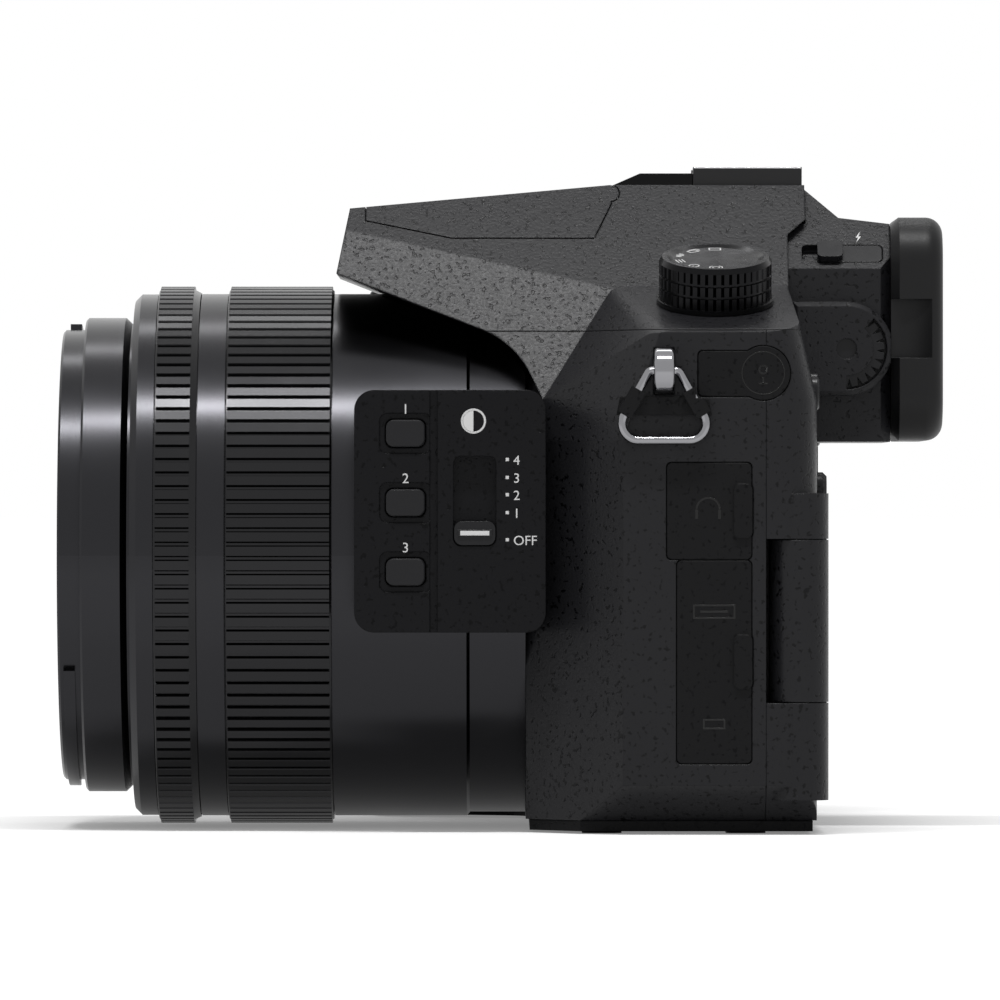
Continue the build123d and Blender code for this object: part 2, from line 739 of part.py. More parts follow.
def dial(radius, height, teeth=KNURL_TEETH):
    """A knurled dial on its flange, with a bevelled rim and a dished top, on a spindle."""
    collar = DIAL_FLANGE
    rim_start = height - DIAL_RIM
    grip = extrude(Pos(0, 0, collar) * toothed(radius - DIAL_DISH, teeth, KNURL_DEPTH), rim_start - collar)
    core = radius - DIAL_DISH - KNURL_DEPTH
    rim = lathe(
        (0, -SPINDLE_LENGTH),
        (SPINDLE_RADIUS, -SPINDLE_LENGTH),
        (SPINDLE_RADIUS, 0),
        (radius, 0),
        (radius, collar),
        (core, collar),
        (core, rim_start),
        (radius - DIAL_DISH, rim_start),
        (radius - DIAL_RIM, height),
        (radius - 2 * DIAL_RIM, height),
        (radius - 3 * DIAL_RIM, height - DIAL_DISH),
        (0, height - DIAL_DISH),
    )
    band = (rim_start - collar) / KNURL_BANDS
    for index in range(1, KNURL_BANDS):
        middle = Pos(0, 0, collar + index * band)
        grip -= middle * (Cylinder(radius + OVERRUN, KNURL_GROOVE) - Cylinder(core, KNURL_GROOVE))
    return grip + rim


def spindle_hole(radius=SPINDLE_RADIUS):
    """Hole for a dial's spindle, in the dial's own frame."""
    depth = SPINDLE_LENGTH + FREE_GAP
    return Pos(0, 0, -depth) * Cylinder(
        radius + RUNNING_GAP, depth + OVERRUN, align=(Align.CENTER, Align.CENTER, Align.MIN)
    )


def drive_place():
    """Local frame of the drive dial."""
    return deck_place(DRIVE_X, DRIVE_Y) * Pos(0, 0, SLIDING_GAP)


def mode_place():
    """Local frame of the mode dial and the power lever."""
    return Pos(MODE_X, MODE_Y, RIGHT_DECK + SLIDING_GAP)


def drive_dial():
    """Dial on the sloping left deck."""
    return drive_place() * dial(DRIVE_RADIUS, DRIVE_HEIGHT)


def power_lever():
    """Flat lever under the mode dial, with a finger tab."""
    ring = Circle(LEVER_RADIUS)
    reach = LEVER_RADIUS + LEVER_TAB_REACH
    ring += panel((-reach, -LEVER_TAB_WIDTH / 2), (0, LEVER_TAB_WIDTH / 2), LEVER_TAB_WIDTH / 3)
    ring -= Circle(SPINDLE_RADIUS + RUNNING_GAP)
    lever = extrude(ring, LEVER_THICKNESS)
    return mode_place() * chamfer(lever.faces().sort_by(Axis.Z)[-1].outer_wire().edges(), DIAL_RIM / 2)


def mode_dial():
    """Mode dial on a spindle that runs down through the power lever."""
    top = dial(MODE_RADIUS, MODE_HEIGHT)
    lift = LEVER_THICKNESS + SLIDING_GAP
    spindle = Pos(0, 0, -SPINDLE_LENGTH) * Cylinder(
        SPINDLE_RADIUS, SPINDLE_LENGTH + lift + DIAL_FLANGE, align=(Align.CENTER, Align.CENTER, Align.MIN)
    )
    return mode_place() * (Pos(0, 0, lift) * top + spindle)


def shutter_place():
    """Local frame of the shutter button."""
    return grip_place(SHUTTER_X, SHUTTER_Y)


def shutter_collar():
    """Raised collar of the top cover round the shutter button."""
    low = (0, -WALL / 2)
    well = ZOOM_LEVER_BORE
    floor = COLLAR_HEIGHT - SHUTTER_TRAVEL - FREE_GAP
    return shutter_place() * lathe(
        low,
        (COLLAR_RADIUS, -WALL / 2),
        (COLLAR_RADIUS, COLLAR_HEIGHT),
        (well, COLLAR_HEIGHT),
        (well, floor),
        (0, floor),
    )


def shutter_stem_hole():
    """Hole in the collar for the shutter button's stem."""
    return shutter_place() * spindle_hole()


def zoom_lever():
    """Zoom lever: a ring round the shutter button with a tab to the front."""
    ring = Circle(ZOOM_LEVER_RADIUS)
    reach = ZOOM_LEVER_RADIUS + LEVER_TAB_REACH
    ring += panel((-LEVER_TAB_WIDTH / 2, -reach), (LEVER_TAB_WIDTH / 2, 0), LEVER_TAB_WIDTH / 3)
    ring -= Circle(ZOOM_LEVER_BORE)
    lever = extrude(ring, ZOOM_LEVER_HEIGHT)
    lever = chamfer(lever.faces().sort_by(Axis.Z)[-1].outer_wire().edges(), DIAL_RIM)
    return shutter_place() * Pos(0, 0, COLLAR_HEIGHT + SLIDING_GAP) * lever


def shutter_button():
    """Dished shutter button with a stem into the top cover."""
    low = COLLAR_HEIGHT
    high = low + SHUTTER_HEIGHT
    body = lathe(
        (0, -SPINDLE_LENGTH + SHUTTER_TRAVEL),
        (SPINDLE_RADIUS, -SPINDLE_LENGTH + SHUTTER_TRAVEL),
        (SPINDLE_RADIUS, low),
        (SHUTTER_RADIUS, low),
        (SHUTTER_RADIUS, high - SHUTTER_DISH),
        (SHUTTER_RADIUS - SHUTTER_DISH, high),
        (SHUTTER_RADIUS - 2 * SHUTTER_DISH, high),
        (0, high - SHUTTER_DISH),
    )
    return shutter_place() * body


def round_button(radius, stand=BUTTON_STAND, depth=BUTTON_DEPTH):
    """A round push button: local Z points out, and zero is the surface it stands in."""
    return lathe(
        (0, -depth),
        (radius, -depth),
        (radius, stand - BUTTON_EDGE),
        (radius - BUTTON_EDGE, stand),
        (0, stand),
    )


def button_hole(radius, depth=BUTTON_DEPTH):
    """Blind hole that a round button slides in."""
    bottom = depth + BUTTON_TRAVEL + FREE_GAP
    return Pos(0, 0, -bottom) * Cylinder(
        radius + SLIDING_GAP, bottom + 2 * OVERRUN, align=(Align.CENTER, Align.CENTER, Align.MIN)
    )


def back_place(place):
    """Local frame on the back, with its Z pointing back."""
    x, z = place
    lean = max(z - BACK_LEAN_HEIGHT, 0) * BACK_LEAN / BACK_LEAN_RISE
    return Pos(x, BODY_BACK - lean, z) * Rot(-90, 0, 0)


def record_place():
    """Local frame of the record button."""
    return grip_place(RECORD_X, RECORD_Y)


def record_button():
    """Record button on the slope of the grip."""
    return record_place() * round_button(RECORD_RADIUS, depth=WALL / 2)


def view_button():
    """Round button beside the eyepiece."""
    return back_place(VIEW_PLACE) * round_button(VIEW_RADIUS)


def play_button():
    """Playback button on the back."""
    return back_place(PLAY_PLACE) * round_button(SMALL_RADIUS)


def menu_button():
    """Menu button on the back."""
    return back_place(MENU_PLACE) * round_button(SMALL_RADIUS)


def af_lock_button():
    """Button in the middle of the focus lever, standing above it."""
    return back_place(AF_PLACE) * round_button(AF_RADIUS, stand=BUTTON_STAND + AF_LEVER_THICKNESS)


def af_lever():
    """Three-place focus lever round its button, on the back."""
    ring = Circle(AF_LEVER_RADIUS)
    reach = AF_LEVER_RADIUS + LEVER_TAB_REACH / 2
    ring += panel((-reach, -LEVER_TAB_WIDTH / 3), (0, LEVER_TAB_WIDTH / 3), LEVER_TAB_WIDTH / 4)
    ring -= Circle(AF_RADIUS + FREE_GAP)
    lever = extrude(ring, AF_LEVER_THICKNESS)
    lever = chamfer(lever.faces().sort_by(Axis.Z)[-1].outer_wire().edges(), BUTTON_EDGE)
    return back_place(AF_PLACE) * Pos(0, 0, SLIDING_GAP) * lever


def af_seat():
    """Flat seat in the back that the focus lever turns on."""
    reach = AF_LEVER_RADIUS + LEVER_TAB_REACH / 2 + FREE_GAP
    lowest = (Align.CENTER, Align.CENTER, Align.MIN)
    return back_place(AF_PLACE) * Cylinder(reach, AF_RADIUS + OVERRUN, align=lowest)


def direction_pad():
    """Round four-way pad with a raised hub."""
    ridge = PAD_RADIUS - SMALL_RADIUS
    return back_place(PAD_PLACE) * lathe(
        (0, -BUTTON_DEPTH),
        (PAD_HUB, -BUTTON_DEPTH),
        (PAD_HUB, -FREE_GAP * 2),
        (PAD_RADIUS, -FREE_GAP * 2),
        (PAD_RADIUS, BUTTON_STAND - BUTTON_EDGE),
        (PAD_RADIUS - BUTTON_EDGE, BUTTON_STAND),
        (ridge, BUTTON_STAND),
        (ridge - BUTTON_EDGE, BUTTON_STAND - BUTTON_EDGE),
        (PAD_HUB + BUTTON_EDGE, BUTTON_STAND - BUTTON_EDGE),
        (PAD_HUB, BUTTON_STAND),
        (0, BUTTON_STAND),
    )


def pad_recess():
    """Dish in the back for the four-way pad, with a hole for its hub."""
    floor = -FREE_GAP * 2 - BUTTON_TRAVEL - FREE_GAP
    dish = Pos(0, 0, floor) * Cylinder(
        PAD_RADIUS + FREE_GAP, OVERRUN - floor, align=(Align.CENTER, Align.CENTER, Align.MIN)
    )
    return back_place(PAD_PLACE) * (dish + button_hole(PAD_HUB))


def rear_dial_place():
    """Local frame of the thumb wheel."""
    return Pos(REAR_DIAL_X, BODY_BACK + REAR_DIAL_STAND - REAR_DIAL_RADIUS, REAR_DIAL_LOW)


def rear_dial():
    """Thumb wheel lying flat in the back edge of the deck, on a short pin."""
    wheel = extrude(toothed(REAR_DIAL_RADIUS, KNURL_TEETH, KNURL_DEPTH), REAR_DIAL_THICKNESS)
    pin = Pos(0, 0, REAR_DIAL_THICKNESS / 2) * Cylinder(HINGE_PIN, REAR_DIAL_THICKNESS + 2 * RING_WIRE)
    return rear_dial_place() * (wheel + pin)


def rear_dial_slot():
    """Slot and pin holes for the thumb wheel."""
    room = REAR_DIAL_RADIUS + FREE_GAP
    slot = Pos(0, 0, -SLIDING_GAP) * Cylinder(
        room, REAR_DIAL_THICKNESS + 2 * SLIDING_GAP, align=(Align.CENTER, Align.CENTER, Align.MIN)
    )
    pin = Pos(0, 0, REAR_DIAL_THICKNESS / 2) * Cylinder(
        HINGE_PIN + RUNNING_GAP, REAR_DIAL_THICKNESS + 2 * RING_WIRE + 2 * RUNNING_GAP
    )
    return rear_dial_place() * (slot + pin)


def left_recess(corners, depth, gap=0, radius=DOOR_ROUND):
    """A flat rectangle in (y, z) sunk into the left side."""
    (front, low), (back, high) = corners
    face = panel((front - gap, low - gap), (back + gap, high + gap), radius)
    return prism_x(face, LEFT_WIDTH - depth, LEFT_WIDTH)


def port_door(corners):
    """Thin door in the left side with a raised finger tab at its back edge."""
    (front, low), (back, high) = corners
    plate = left_recess(corners, DOOR_THICKNESS)
    middle = (low + high) / 2
    tab_back = back + SLIDING_GAP
    face = panel(
        (tab_back - TAB_WIDTH, middle - TAB_LENGTH / 2), (tab_back, middle + TAB_LENGTH / 2), TAB_WIDTH / 3
    )
    return plate + prism_x(face, LEFT_WIDTH - DOOR_THICKNESS, LEFT_WIDTH + TAB_STAND)


def phones_port_cover():
    """Door over the headphone socket."""
    return port_door(PHONES_DOOR)


def data_port_cover():
    """Door over the two flat sockets."""
    return port_door(DATA_DOOR)


def mic_outline(gap=0):
    """A rectangle with a round end, in (y, z)."""
    (front, low), (back, high) = MIC_DOOR
    face = panel((front - gap, low - gap), (back + gap, high + gap), DOOR_ROUND)
    return face + disc(MIC_CAP, MIC_CAP_RADIUS + gap)


def mic_port_cover():
    """Cover of the microphone socket, with a round cap at its back end."""
    return prism_x(mic_outline(), LEFT_WIDTH - DOOR_THICKNESS, LEFT_WIDTH)


def door_centre(corners):
    """Middle of a door, in (y, z)."""
    (front, low), (back, high) = corners
    return ((front + back) / 2, (low + high) / 2)


def data_sockets():
    """Places of the two flat sockets behind the data door."""
    y, z = door_centre(DATA_DOOR)
    return [(y, z - 2 * SOCKET_HALF_HEIGHT), (y, z + 2 * SOCKET_HALF_HEIGHT)]


def jack_places():
    """Places of the two round sockets, in (y, z)."""
    return [door_centre(MIC_DOOR), door_centre(PHONES_DOOR)]


def socket_cutter(gap=0):
    """All four socket openings in (y, z)."""
    faces = [disc(place, JACK_RADIUS + gap) for place in jack_places()]
    half_width = SOCKET_HALF_WIDTH + SOCKET_WALL + gap
    half_height = SOCKET_HALF_HEIGHT + SOCKET_WALL + gap
    for y, z in data_sockets():
        low, high = (y - half_width, z - half_height), (y + half_width, z + half_height)
        faces.append(panel(low, high, SOCKET_WALL))
    return faces


def door_pockets():
    """Recesses for the three doors, and the socket openings behind them."""
    depth = DOOR_THICKNESS + SEAT_GAP
    pockets = [left_recess(PHONES_DOOR, depth, SLIDING_GAP), left_recess(DATA_DOOR, depth, SLIDING_GAP)]
    pockets.append(prism_x(mic_outline(SLIDING_GAP), LEFT_WIDTH - depth, LEFT_WIDTH))
    for corners in (PHONES_DOOR, DATA_DOOR):
        (front, low), (back, high) = corners
        middle = (low + high) / 2
        notch = ((back - TAB_WIDTH, middle - TAB_LENGTH / 2), (back + SLIDING_GAP, middle + TAB_LENGTH / 2))
        pockets.append(left_recess(notch, depth, SLIDING_GAP, TAB_WIDTH / 3))
    pockets += [prism_x(face, LEFT_WIDTH - 2 * WALL, LEFT_WIDTH) for face in socket_cutter(SLIDING_GAP)]
    return pockets


def hinge_disc(radius, low, high):
    """A cylinder about the monitor hinge's upright axis."""
    return cylinder_z((HINGE_X, HINGE_Y), radius, low, high)


def monitor_pocket():
    """Recess in the back for the closed monitor, and the notch for its hinge block."""
    gap = FREE_GAP
    low = (MONITOR_RIGHT - gap, MONITOR_LOW - gap)
    face = panel(low, (LEFT_WIDTH + OVERRUN, MONITOR_HIGH + gap), MONITOR_ROUND)
    bed = prism_y(face, MONITOR_FRONT - gap, BODY_BACK + HINGE_RADIUS)
    for low, high in ((0, HINGE_LOW - SLIDING_GAP), (HINGE_HIGH + SLIDING_GAP, MONITOR_HIGH + OVERRUN)):
        bed -= hinge_disc(HINGE_RADIUS, low, high)
    notch_x = HINGE_X - HINGE_RADIUS - FREE_GAP
    notch = corner_block(
        (notch_x, COVER_PARTING, HINGE_LOW - SLIDING_GAP),
        (LEFT_WIDTH + OVERRUN, BODY_BACK + HINGE_RADIUS, HINGE_HIGH + SLIDING_GAP),
    )
    return bed + notch


def hinge_ears():
    """Two rounded ears of the rear cover that hold the monitor hinge."""
    return hinge_disc(HINGE_RADIUS, EAR_LOW, HINGE_LOW - SLIDING_GAP) + hinge_disc(
        HINGE_RADIUS, HINGE_HIGH + SLIDING_GAP, EAR_HIGH
    )


def hinge_pin_holes():
    """Holes in the ears for the hinge block's pins."""
    length = HINGE_PIN_LENGTH + FREE_GAP
    return hinge_disc(HINGE_PIN + RUNNING_GAP, HINGE_LOW - length, HINGE_HIGH + length)


def evf_outline(gap=0):
    """Eyepiece housing seen from behind: upright sides and a facet on each shoulder."""
    top_half = EVF_HALF - (EVF_HIGH - EVF_FACET_START) * FLANK_SLOPE
    face = outline(
        (EVF_HALF, EVF_LOW),
        (EVF_HALF, EVF_FACET_START),
        (top_half, EVF_HIGH),
        (-top_half, EVF_HIGH),
        (-EVF_HALF, EVF_FACET_START),
        (-EVF_HALF, EVF_LOW),
    )
    return offset(face, gap) if gap else face


def evf_wedge():
    """Slope from the hump's back down to the top of the eyepiece housing."""
    start = HUMP_BACK + SEAT_GAP
    side = outline(
        (start, EVF_FACET_START),
        (start, WEDGE_TOP),
        WEDGE_FOOT,
        (EVF_BACK, EVF_HIGH),
        (EVF_BACK, EVF_FACET_START),
    )
    top_half = EVF_HALF - (WEDGE_TOP - EVF_FACET_START) * FLANK_SLOPE
    back = outline(
        (EVF_HALF, EVF_FACET_START),
        (top_half, WEDGE_TOP),
        (-top_half, WEDGE_TOP),
        (-EVF_HALF, EVF_FACET_START),
    )
    return prism_x(side, -EVF_HALF, EVF_HALF) & prism_y(back, start, EVF_BACK)


def evf_room():
    """Room in the covers for the eyepiece housing and its boss."""
    boss = prism_x(offset(diopter_boss_face(), SEAT_GAP), 0, EVF_HALF + DIOPTER_BOSS_STAND + SEAT_GAP)
    return prism_y(evf_outline(SEAT_GAP), EVF_FRONT - SEAT_GAP, EVF_BACK) + boss


def lug_holes():
    """Seats of the strap lugs in both sides of the body."""
    half = LUG_THICKNESS / 2 + SEAT_GAP
    low = LUG_Z - LUG_RADIUS - SEAT_GAP
    high = LUG_Z + LUG_RADIUS + SEAT_GAP
    depth = LUG_RADIUS - LUG_REACH + SEAT_GAP
    front, back = LUG_Y - half, LUG_Y + half
    left = corner_block((LEFT_WIDTH - depth, front, low), (LEFT_WIDTH + OVERRUN, back, high))
    right = corner_block((-RIGHT_WIDTH - OVERRUN, front, low), (depth - RIGHT_WIDTH, back, high))
    return [left, right]


def skin_zone(gap=0):
    """Band of the grip that its skin covers."""
    low = (-RIGHT_WIDTH - OVERRUN, GRIP_FRONT - OVERRUN, SKIN_LOW - gap)
    high = (SKIN_START + gap, CARD_DOOR[0][0] - FREE_GAP + gap, SKIN_HIGH + gap)
    return corner_block(low, high)


def hand_grip():
    """Rubber skin round the front of the grip."""
    outside = prism_z(grip_outline(), SKIN_LOW, SKIN_HIGH)
    inside = prism_z(grip_outline(GRIP_SKIN), 0, SIDE_TOP)
    return (outside - inside) & skin_zone()


def grip_recess():
    """Shallow recess in the front cover for the grip's skin."""
    outside = prism_z(offset(grip_outline(), OVERRUN), SKIN_LOW - SEAT_GAP, SKIN_HIGH + SEAT_GAP)
    inside = prism_z(grip_outline(GRIP_SKIN + SEAT_GAP), 0, SIDE_TOP)
    return (outside - inside) & skin_zone(SEAT_GAP)


def card_recess(gap=0, depth=CARD_DOOR_THICKNESS):
    """Place of the card door in the right side."""
    (front, low), (back, high) = CARD_DOOR
    face = panel((front - gap, low - gap), (back + gap, high + gap), DOOR_ROUND)
    return prism_x(face, -RIGHT_WIDTH, -RIGHT_WIDTH + depth)


def card_door():
    """Door over the memory card in the right side, with a finger groove at its front edge."""
    (front, low), (back, high) = CARD_DOOR
    middle = (low + high) / 2
    groove = cylinder_x(
        (front, middle), TAB_WIDTH, -RIGHT_WIDTH - OVERRUN, -RIGHT_WIDTH + CARD_DOOR_THICKNESS / 2
    )
    return card_recess() - groove


def battery_bay(gap):
    """Room of the battery, widened by some gap, open downward."""
    half = [side / 2 + gap for side in BATTERY_SIZE]
    low = (BATTERY_X - half[0], BATTERY_Y - half[1], 0)
    high = (BATTERY_X + half[0], BATTERY_Y + half[1], BASE_TOP + SEAT_GAP + BATTERY_SIZE[2] + gap)
    return corner_block(low, high)


def front_cover(form, hollow):
    """Front shell: lens opening, finger side of the grip, port recesses and lug seats."""
    cut = corner_block((-RIGHT_WIDTH, GRIP_FRONT - OVERRUN, 0), (LEFT_WIDTH, COVER_PARTING, SIDE_TOP))
    shell = (form & cut) - hollow
    shell -= cylinder_y((0, AXIS_HEIGHT), SPIGOT_RADIUS + SEAT_GAP, BODY_FRONT - OVERRUN, 0)
    shell -= door_pockets() + lug_holes()
    shell -= grip_recess()
    shell -= card_recess(SLIDING_GAP, CARD_DOOR_THICKNESS + SEAT_GAP)
    shell -= card_opening()
    shell -= cylinder_z((0, 0), BOSS_RADIUS + SEAT_GAP, 0, BASE_TOP + WALL + OVERRUN)
    return shell - battery_bay(WELL_GAP + WELL_WALL + SEAT_GAP)


def rear_cover(form, hollow):
    """Back shell: monitor bed, hinge ears, button holes and the seat of the thumb rest."""
    cut = corner_block(
        (-RIGHT_WIDTH, COVER_PARTING + SEAT_GAP, 0), (LEFT_WIDTH, BODY_BACK, SIDE_TOP)
    )
    shell = (form & cut) - hollow - monitor_pocket() + hinge_ears()
    shell -= hinge_pin_holes()
    shell -= evf_room()
    shell -= door_pockets()
    for place, radius in (
        (VIEW_PLACE, VIEW_RADIUS),
        (AF_PLACE, AF_RADIUS),
        (PLAY_PLACE, SMALL_RADIUS),
        (MENU_PLACE, SMALL_RADIUS),
    ):
        shell -= back_place(place) * button_hole(radius)
    shell -= [pad_recess(), af_seat()]
    return shell - thumb_seat(SEAT_GAP)


def top_cover(form, hollow):
    """Top shell: hump, decks, flash well and the holes of the dials."""
    cut = corner_block(
        (-RIGHT_WIDTH, HUMP_FRONT - BROW_OVERHANG, SIDE_TOP + SEAT_GAP), (LEFT_WIDTH, BODY_BACK, HUMP_TOP)
    )
    shell = (form & cut) - hollow + mic_hood()
    shell -= flash_well()
    shell -= shoe_seat()
    shell -= evf_room()
    shell -= cylinder_y((0, AXIS_HEIGHT), SPIGOT_RADIUS + SEAT_GAP, BODY_FRONT - OVERRUN, 0)
    shell -= [drive_place() * spindle_hole(), mode_place() * spindle_hole()]
    shell += shutter_collar()
    shell -= shutter_stem_hole()
    shell -= record_place() * button_hole(RECORD_RADIUS, WALL / 2)
    return shell - rear_dial_slot()


def thumb_seat(gap=0):
    """Place of the thumb rest in the back."""
    face = panel((THUMB_OUTER - gap, THUMB_LOW - gap), (THUMB_INNER + gap, THUMB_HIGH + gap), THUMB_ROUND)
    return prism_y(face, BODY_BACK - THUMB_SEAT - gap, BODY_BACK + THUMB_STAND)


def thumb_rest():
    """Rubber thumb rest, rising to its inner edge."""
    low = (THUMB_OUTER, BODY_BACK + BUTTON_EDGE, THUMB_LOW)
    high = (THUMB_OUTER, BODY_BACK + BUTTON_EDGE, THUMB_HIGH)
    crest = (THUMB_INNER, BODY_BACK + THUMB_STAND, THUMB_LOW)
    return cut_off(thumb_seat(), low, crest, high, (THUMB_INNER, 0, THUMB_LOW))


def base_cover():
    """Base plate with its four feet, the tripod boss hole and the battery door's opening."""
    plate = prism_z(grip_outline(BASE_INSET), 0, BASE_THICKNESS)
    left = outline(
        (0, BODY_FRONT + BASE_INSET),
        (LEFT_WIDTH - SLANT_WIDTH, BODY_FRONT + BASE_INSET),
        (LEFT_WIDTH - FOOT_BEVEL_WIDTH, BODY_FRONT + SLANT_DEPTH * (1 - FOOT_BEVEL_WIDTH / SLANT_WIDTH)),
        (LEFT_WIDTH - FOOT_BEVEL_WIDTH, BODY_BACK - BASE_INSET),
        (0, BODY_BACK - BASE_INSET),
    )
    plate += prism_z(left, 0, BASE_THICKNESS)
    half_x, half_y = FOOT_SIZE[0] / 2, FOOT_SIZE[1] / 2
    foot_x = LEFT_WIDTH - FOOT_INSET
    for x in (foot_x, -foot_x):
        for y in (FOOT_FRONT_Y, FOOT_BACK_Y):
            pad = panel((x - half_x, y - half_y), (x + half_x, y + half_y), FOOT_ROUND)
            plate += prism_z(pad, -FOOT_HEIGHT, BASE_THICKNESS / 2)
    plate -= cylinder_z((0, 0), BOSS_RADIUS + SEAT_GAP, -OVERRUN, BASE_THICKNESS + OVERRUN)
    return plate - bay_plate(SLIDING_GAP)


def bay_plate(gap=0):
    """Plate of the battery door, in the base."""
    inner = grip_outline(BAY_INSET - gap)
    low = (-RIGHT_WIDTH, GRIP_FRONT)
    face = inner & panel(low, (BAY_ROOT + gap, BAY_BACK + gap), BAY_DOOR_ROUND)
    return prism_z(face, 0, BASE_THICKNESS)


def latch_slot(travel=0, gap=0):
    """Shallow slot under the battery door, as long as its latch and some travel."""
    width, length = LATCH_SIZE
    left = -RIGHT_WIDTH + BAY_INSET + LATCH_SPACE
    low = (left - gap, BATTERY_Y - length / 2 - gap)
    high = (left + width + travel + gap, BATTERY_Y + length / 2 + gap)
    return prism_z(panel(low, high, BUTTON_EDGE + gap), 0, BASE_THICKNESS - LATCH_ROOF)


def battery_door():
    """Battery door with a shallow slot for its latch."""
    return bay_plate() - latch_slot(LATCH_TRAVEL, SLIDING_GAP)


def battery_latch():
    """Sliding latch in the battery door."""
    return Pos(0, 0, -SLIDING_GAP) * latch_slot() & bay_plate()


def lens_barrel():
    """Fixed tube of the lens: seats for both rings, the bands between, and a tail for the sensor."""
    tube_front = TRIM_FRONT + TRIM_LENGTH / 3
    back_wall = BODY_FRONT + WALL + SEAT_GAP
    tail_end = back_wall + TAIL_LENGTH
    tail_bore = TAIL_RADIUS - WALL
    flange = TRIM_FRONT + TRIM_LENGTH + CONTROL_RING_LENGTH / 2
    barrel = lens_lathe(
        (BORE_RADIUS, tube_front),
        (SEAT_RADIUS, tube_front),
        (SEAT_RADIUS, CONTROL_RING_BACK + SLIDING_GAP),
        (BARREL_RADIUS, CONTROL_RING_BACK + SLIDING_GAP),
        (BARREL_RADIUS, ZOOM_RING_FRONT - SLIDING_GAP),
        (SEAT_RADIUS, ZOOM_RING_FRONT - SLIDING_GAP),
        (SEAT_RADIUS, ZOOM_RING_BACK + SLIDING_GAP),
        (BARREL_RADIUS, ZOOM_RING_BACK + SLIDING_GAP),
        (BARREL_RADIUS, ROOT_FRONT - RIB_DEPTH),
        (ROOT_RADIUS, ROOT_FRONT),
        (ROOT_RADIUS, BODY_FRONT - SEAT_GAP),
        (SPIGOT_RADIUS, BODY_FRONT - SEAT_GAP),
        (SPIGOT_RADIUS, back_wall),
        (TAIL_RADIUS, back_wall),
        (TAIL_RADIUS, tail_end),
        (tail_bore, tail_end),
        (tail_bore, back_wall - WALL),
        (BORE_RADIUS, back_wall - WALL),
        (BORE_RADIUS, flange + WALL),
        (BORE_RADIUS - ROD_FRONT_INSET, flange + WALL),
        (BORE_RADIUS - ROD_FRONT_INSET, flange),
        (BORE_RADIUS, flange),
    )
    rods = rod_bores(flange - OVERRUN, back_wall, ROD_RADIUS + RUNNING_GAP)
    return barrel - rods


def rod_bores(low, high, radius):
    """Both guide rods, or their bores, beside the lens axis."""
    return [cylinder_y((side * ROD_OFFSET, AXIS_HEIGHT), radius, low, high) for side in (1, -1)]


def rod_ends():
    """Where the guide rods start and end."""
    front = TRIM_FRONT + TRIM_LENGTH + CONTROL_RING_LENGTH / 2
    return front, BODY_FRONT + WALL


def guide_rods():
    """Two rods that the moving lens cells slide on."""
    front, back = rod_ends()
    return Compound(children=rod_bores(front, back, ROD_RADIUS))


def lens_cell(front):
    """A ring-shaped cell with a glass disc across it and an ear round each guide rod."""
    back = front + CELL_LENGTH
    inner = CELL_RADIUS - CELL_WALL
    glass_front = front + CELL_LENGTH / 3
    glass_back = back - CELL_LENGTH / 3
    cell = lens_lathe(
        (CELL_RADIUS, front),
        (CELL_RADIUS, back),
        (inner, back),
        (inner, glass_back),
        (0, glass_back),
        (0, glass_front),
        (inner, glass_front),
        (inner, front),
    )
    cell += rod_bores(front, back, EAR_RADIUS)
    return cell - rod_bores(front - OVERRUN, back + OVERRUN, ROD_RADIUS + RUNNING_GAP)


def iris_front():
    """Where the iris ring starts."""
    front, back = rod_ends()
    return front + (back - front) * IRIS_SHARE


def zoom_group():
    """Front moving cell, which slides back when the lens zooms."""
    return lens_cell(iris_front() - CELL_LENGTH - ZOOM_TRAVEL - FREE_GAP)


def focus_group():
    """Rear moving cell, which slides back to focus."""
    return lens_cell(iris_front() + IRIS_LENGTH + FREE_GAP)


def iris_unit():
    """Fixed ring with the iris opening, through which the rods pass."""
    front = iris_front()
    back = front + IRIS_LENGTH
    edge = BORE_RADIUS - SLIDING_GAP
    ring = lens_lathe((IRIS_RADIUS, front), (edge, front), (edge, back), (IRIS_RADIUS, back))
    return ring - rod_bores(front - OVERRUN, back + OVERRUN, ROD_RADIUS + RUNNING_GAP)


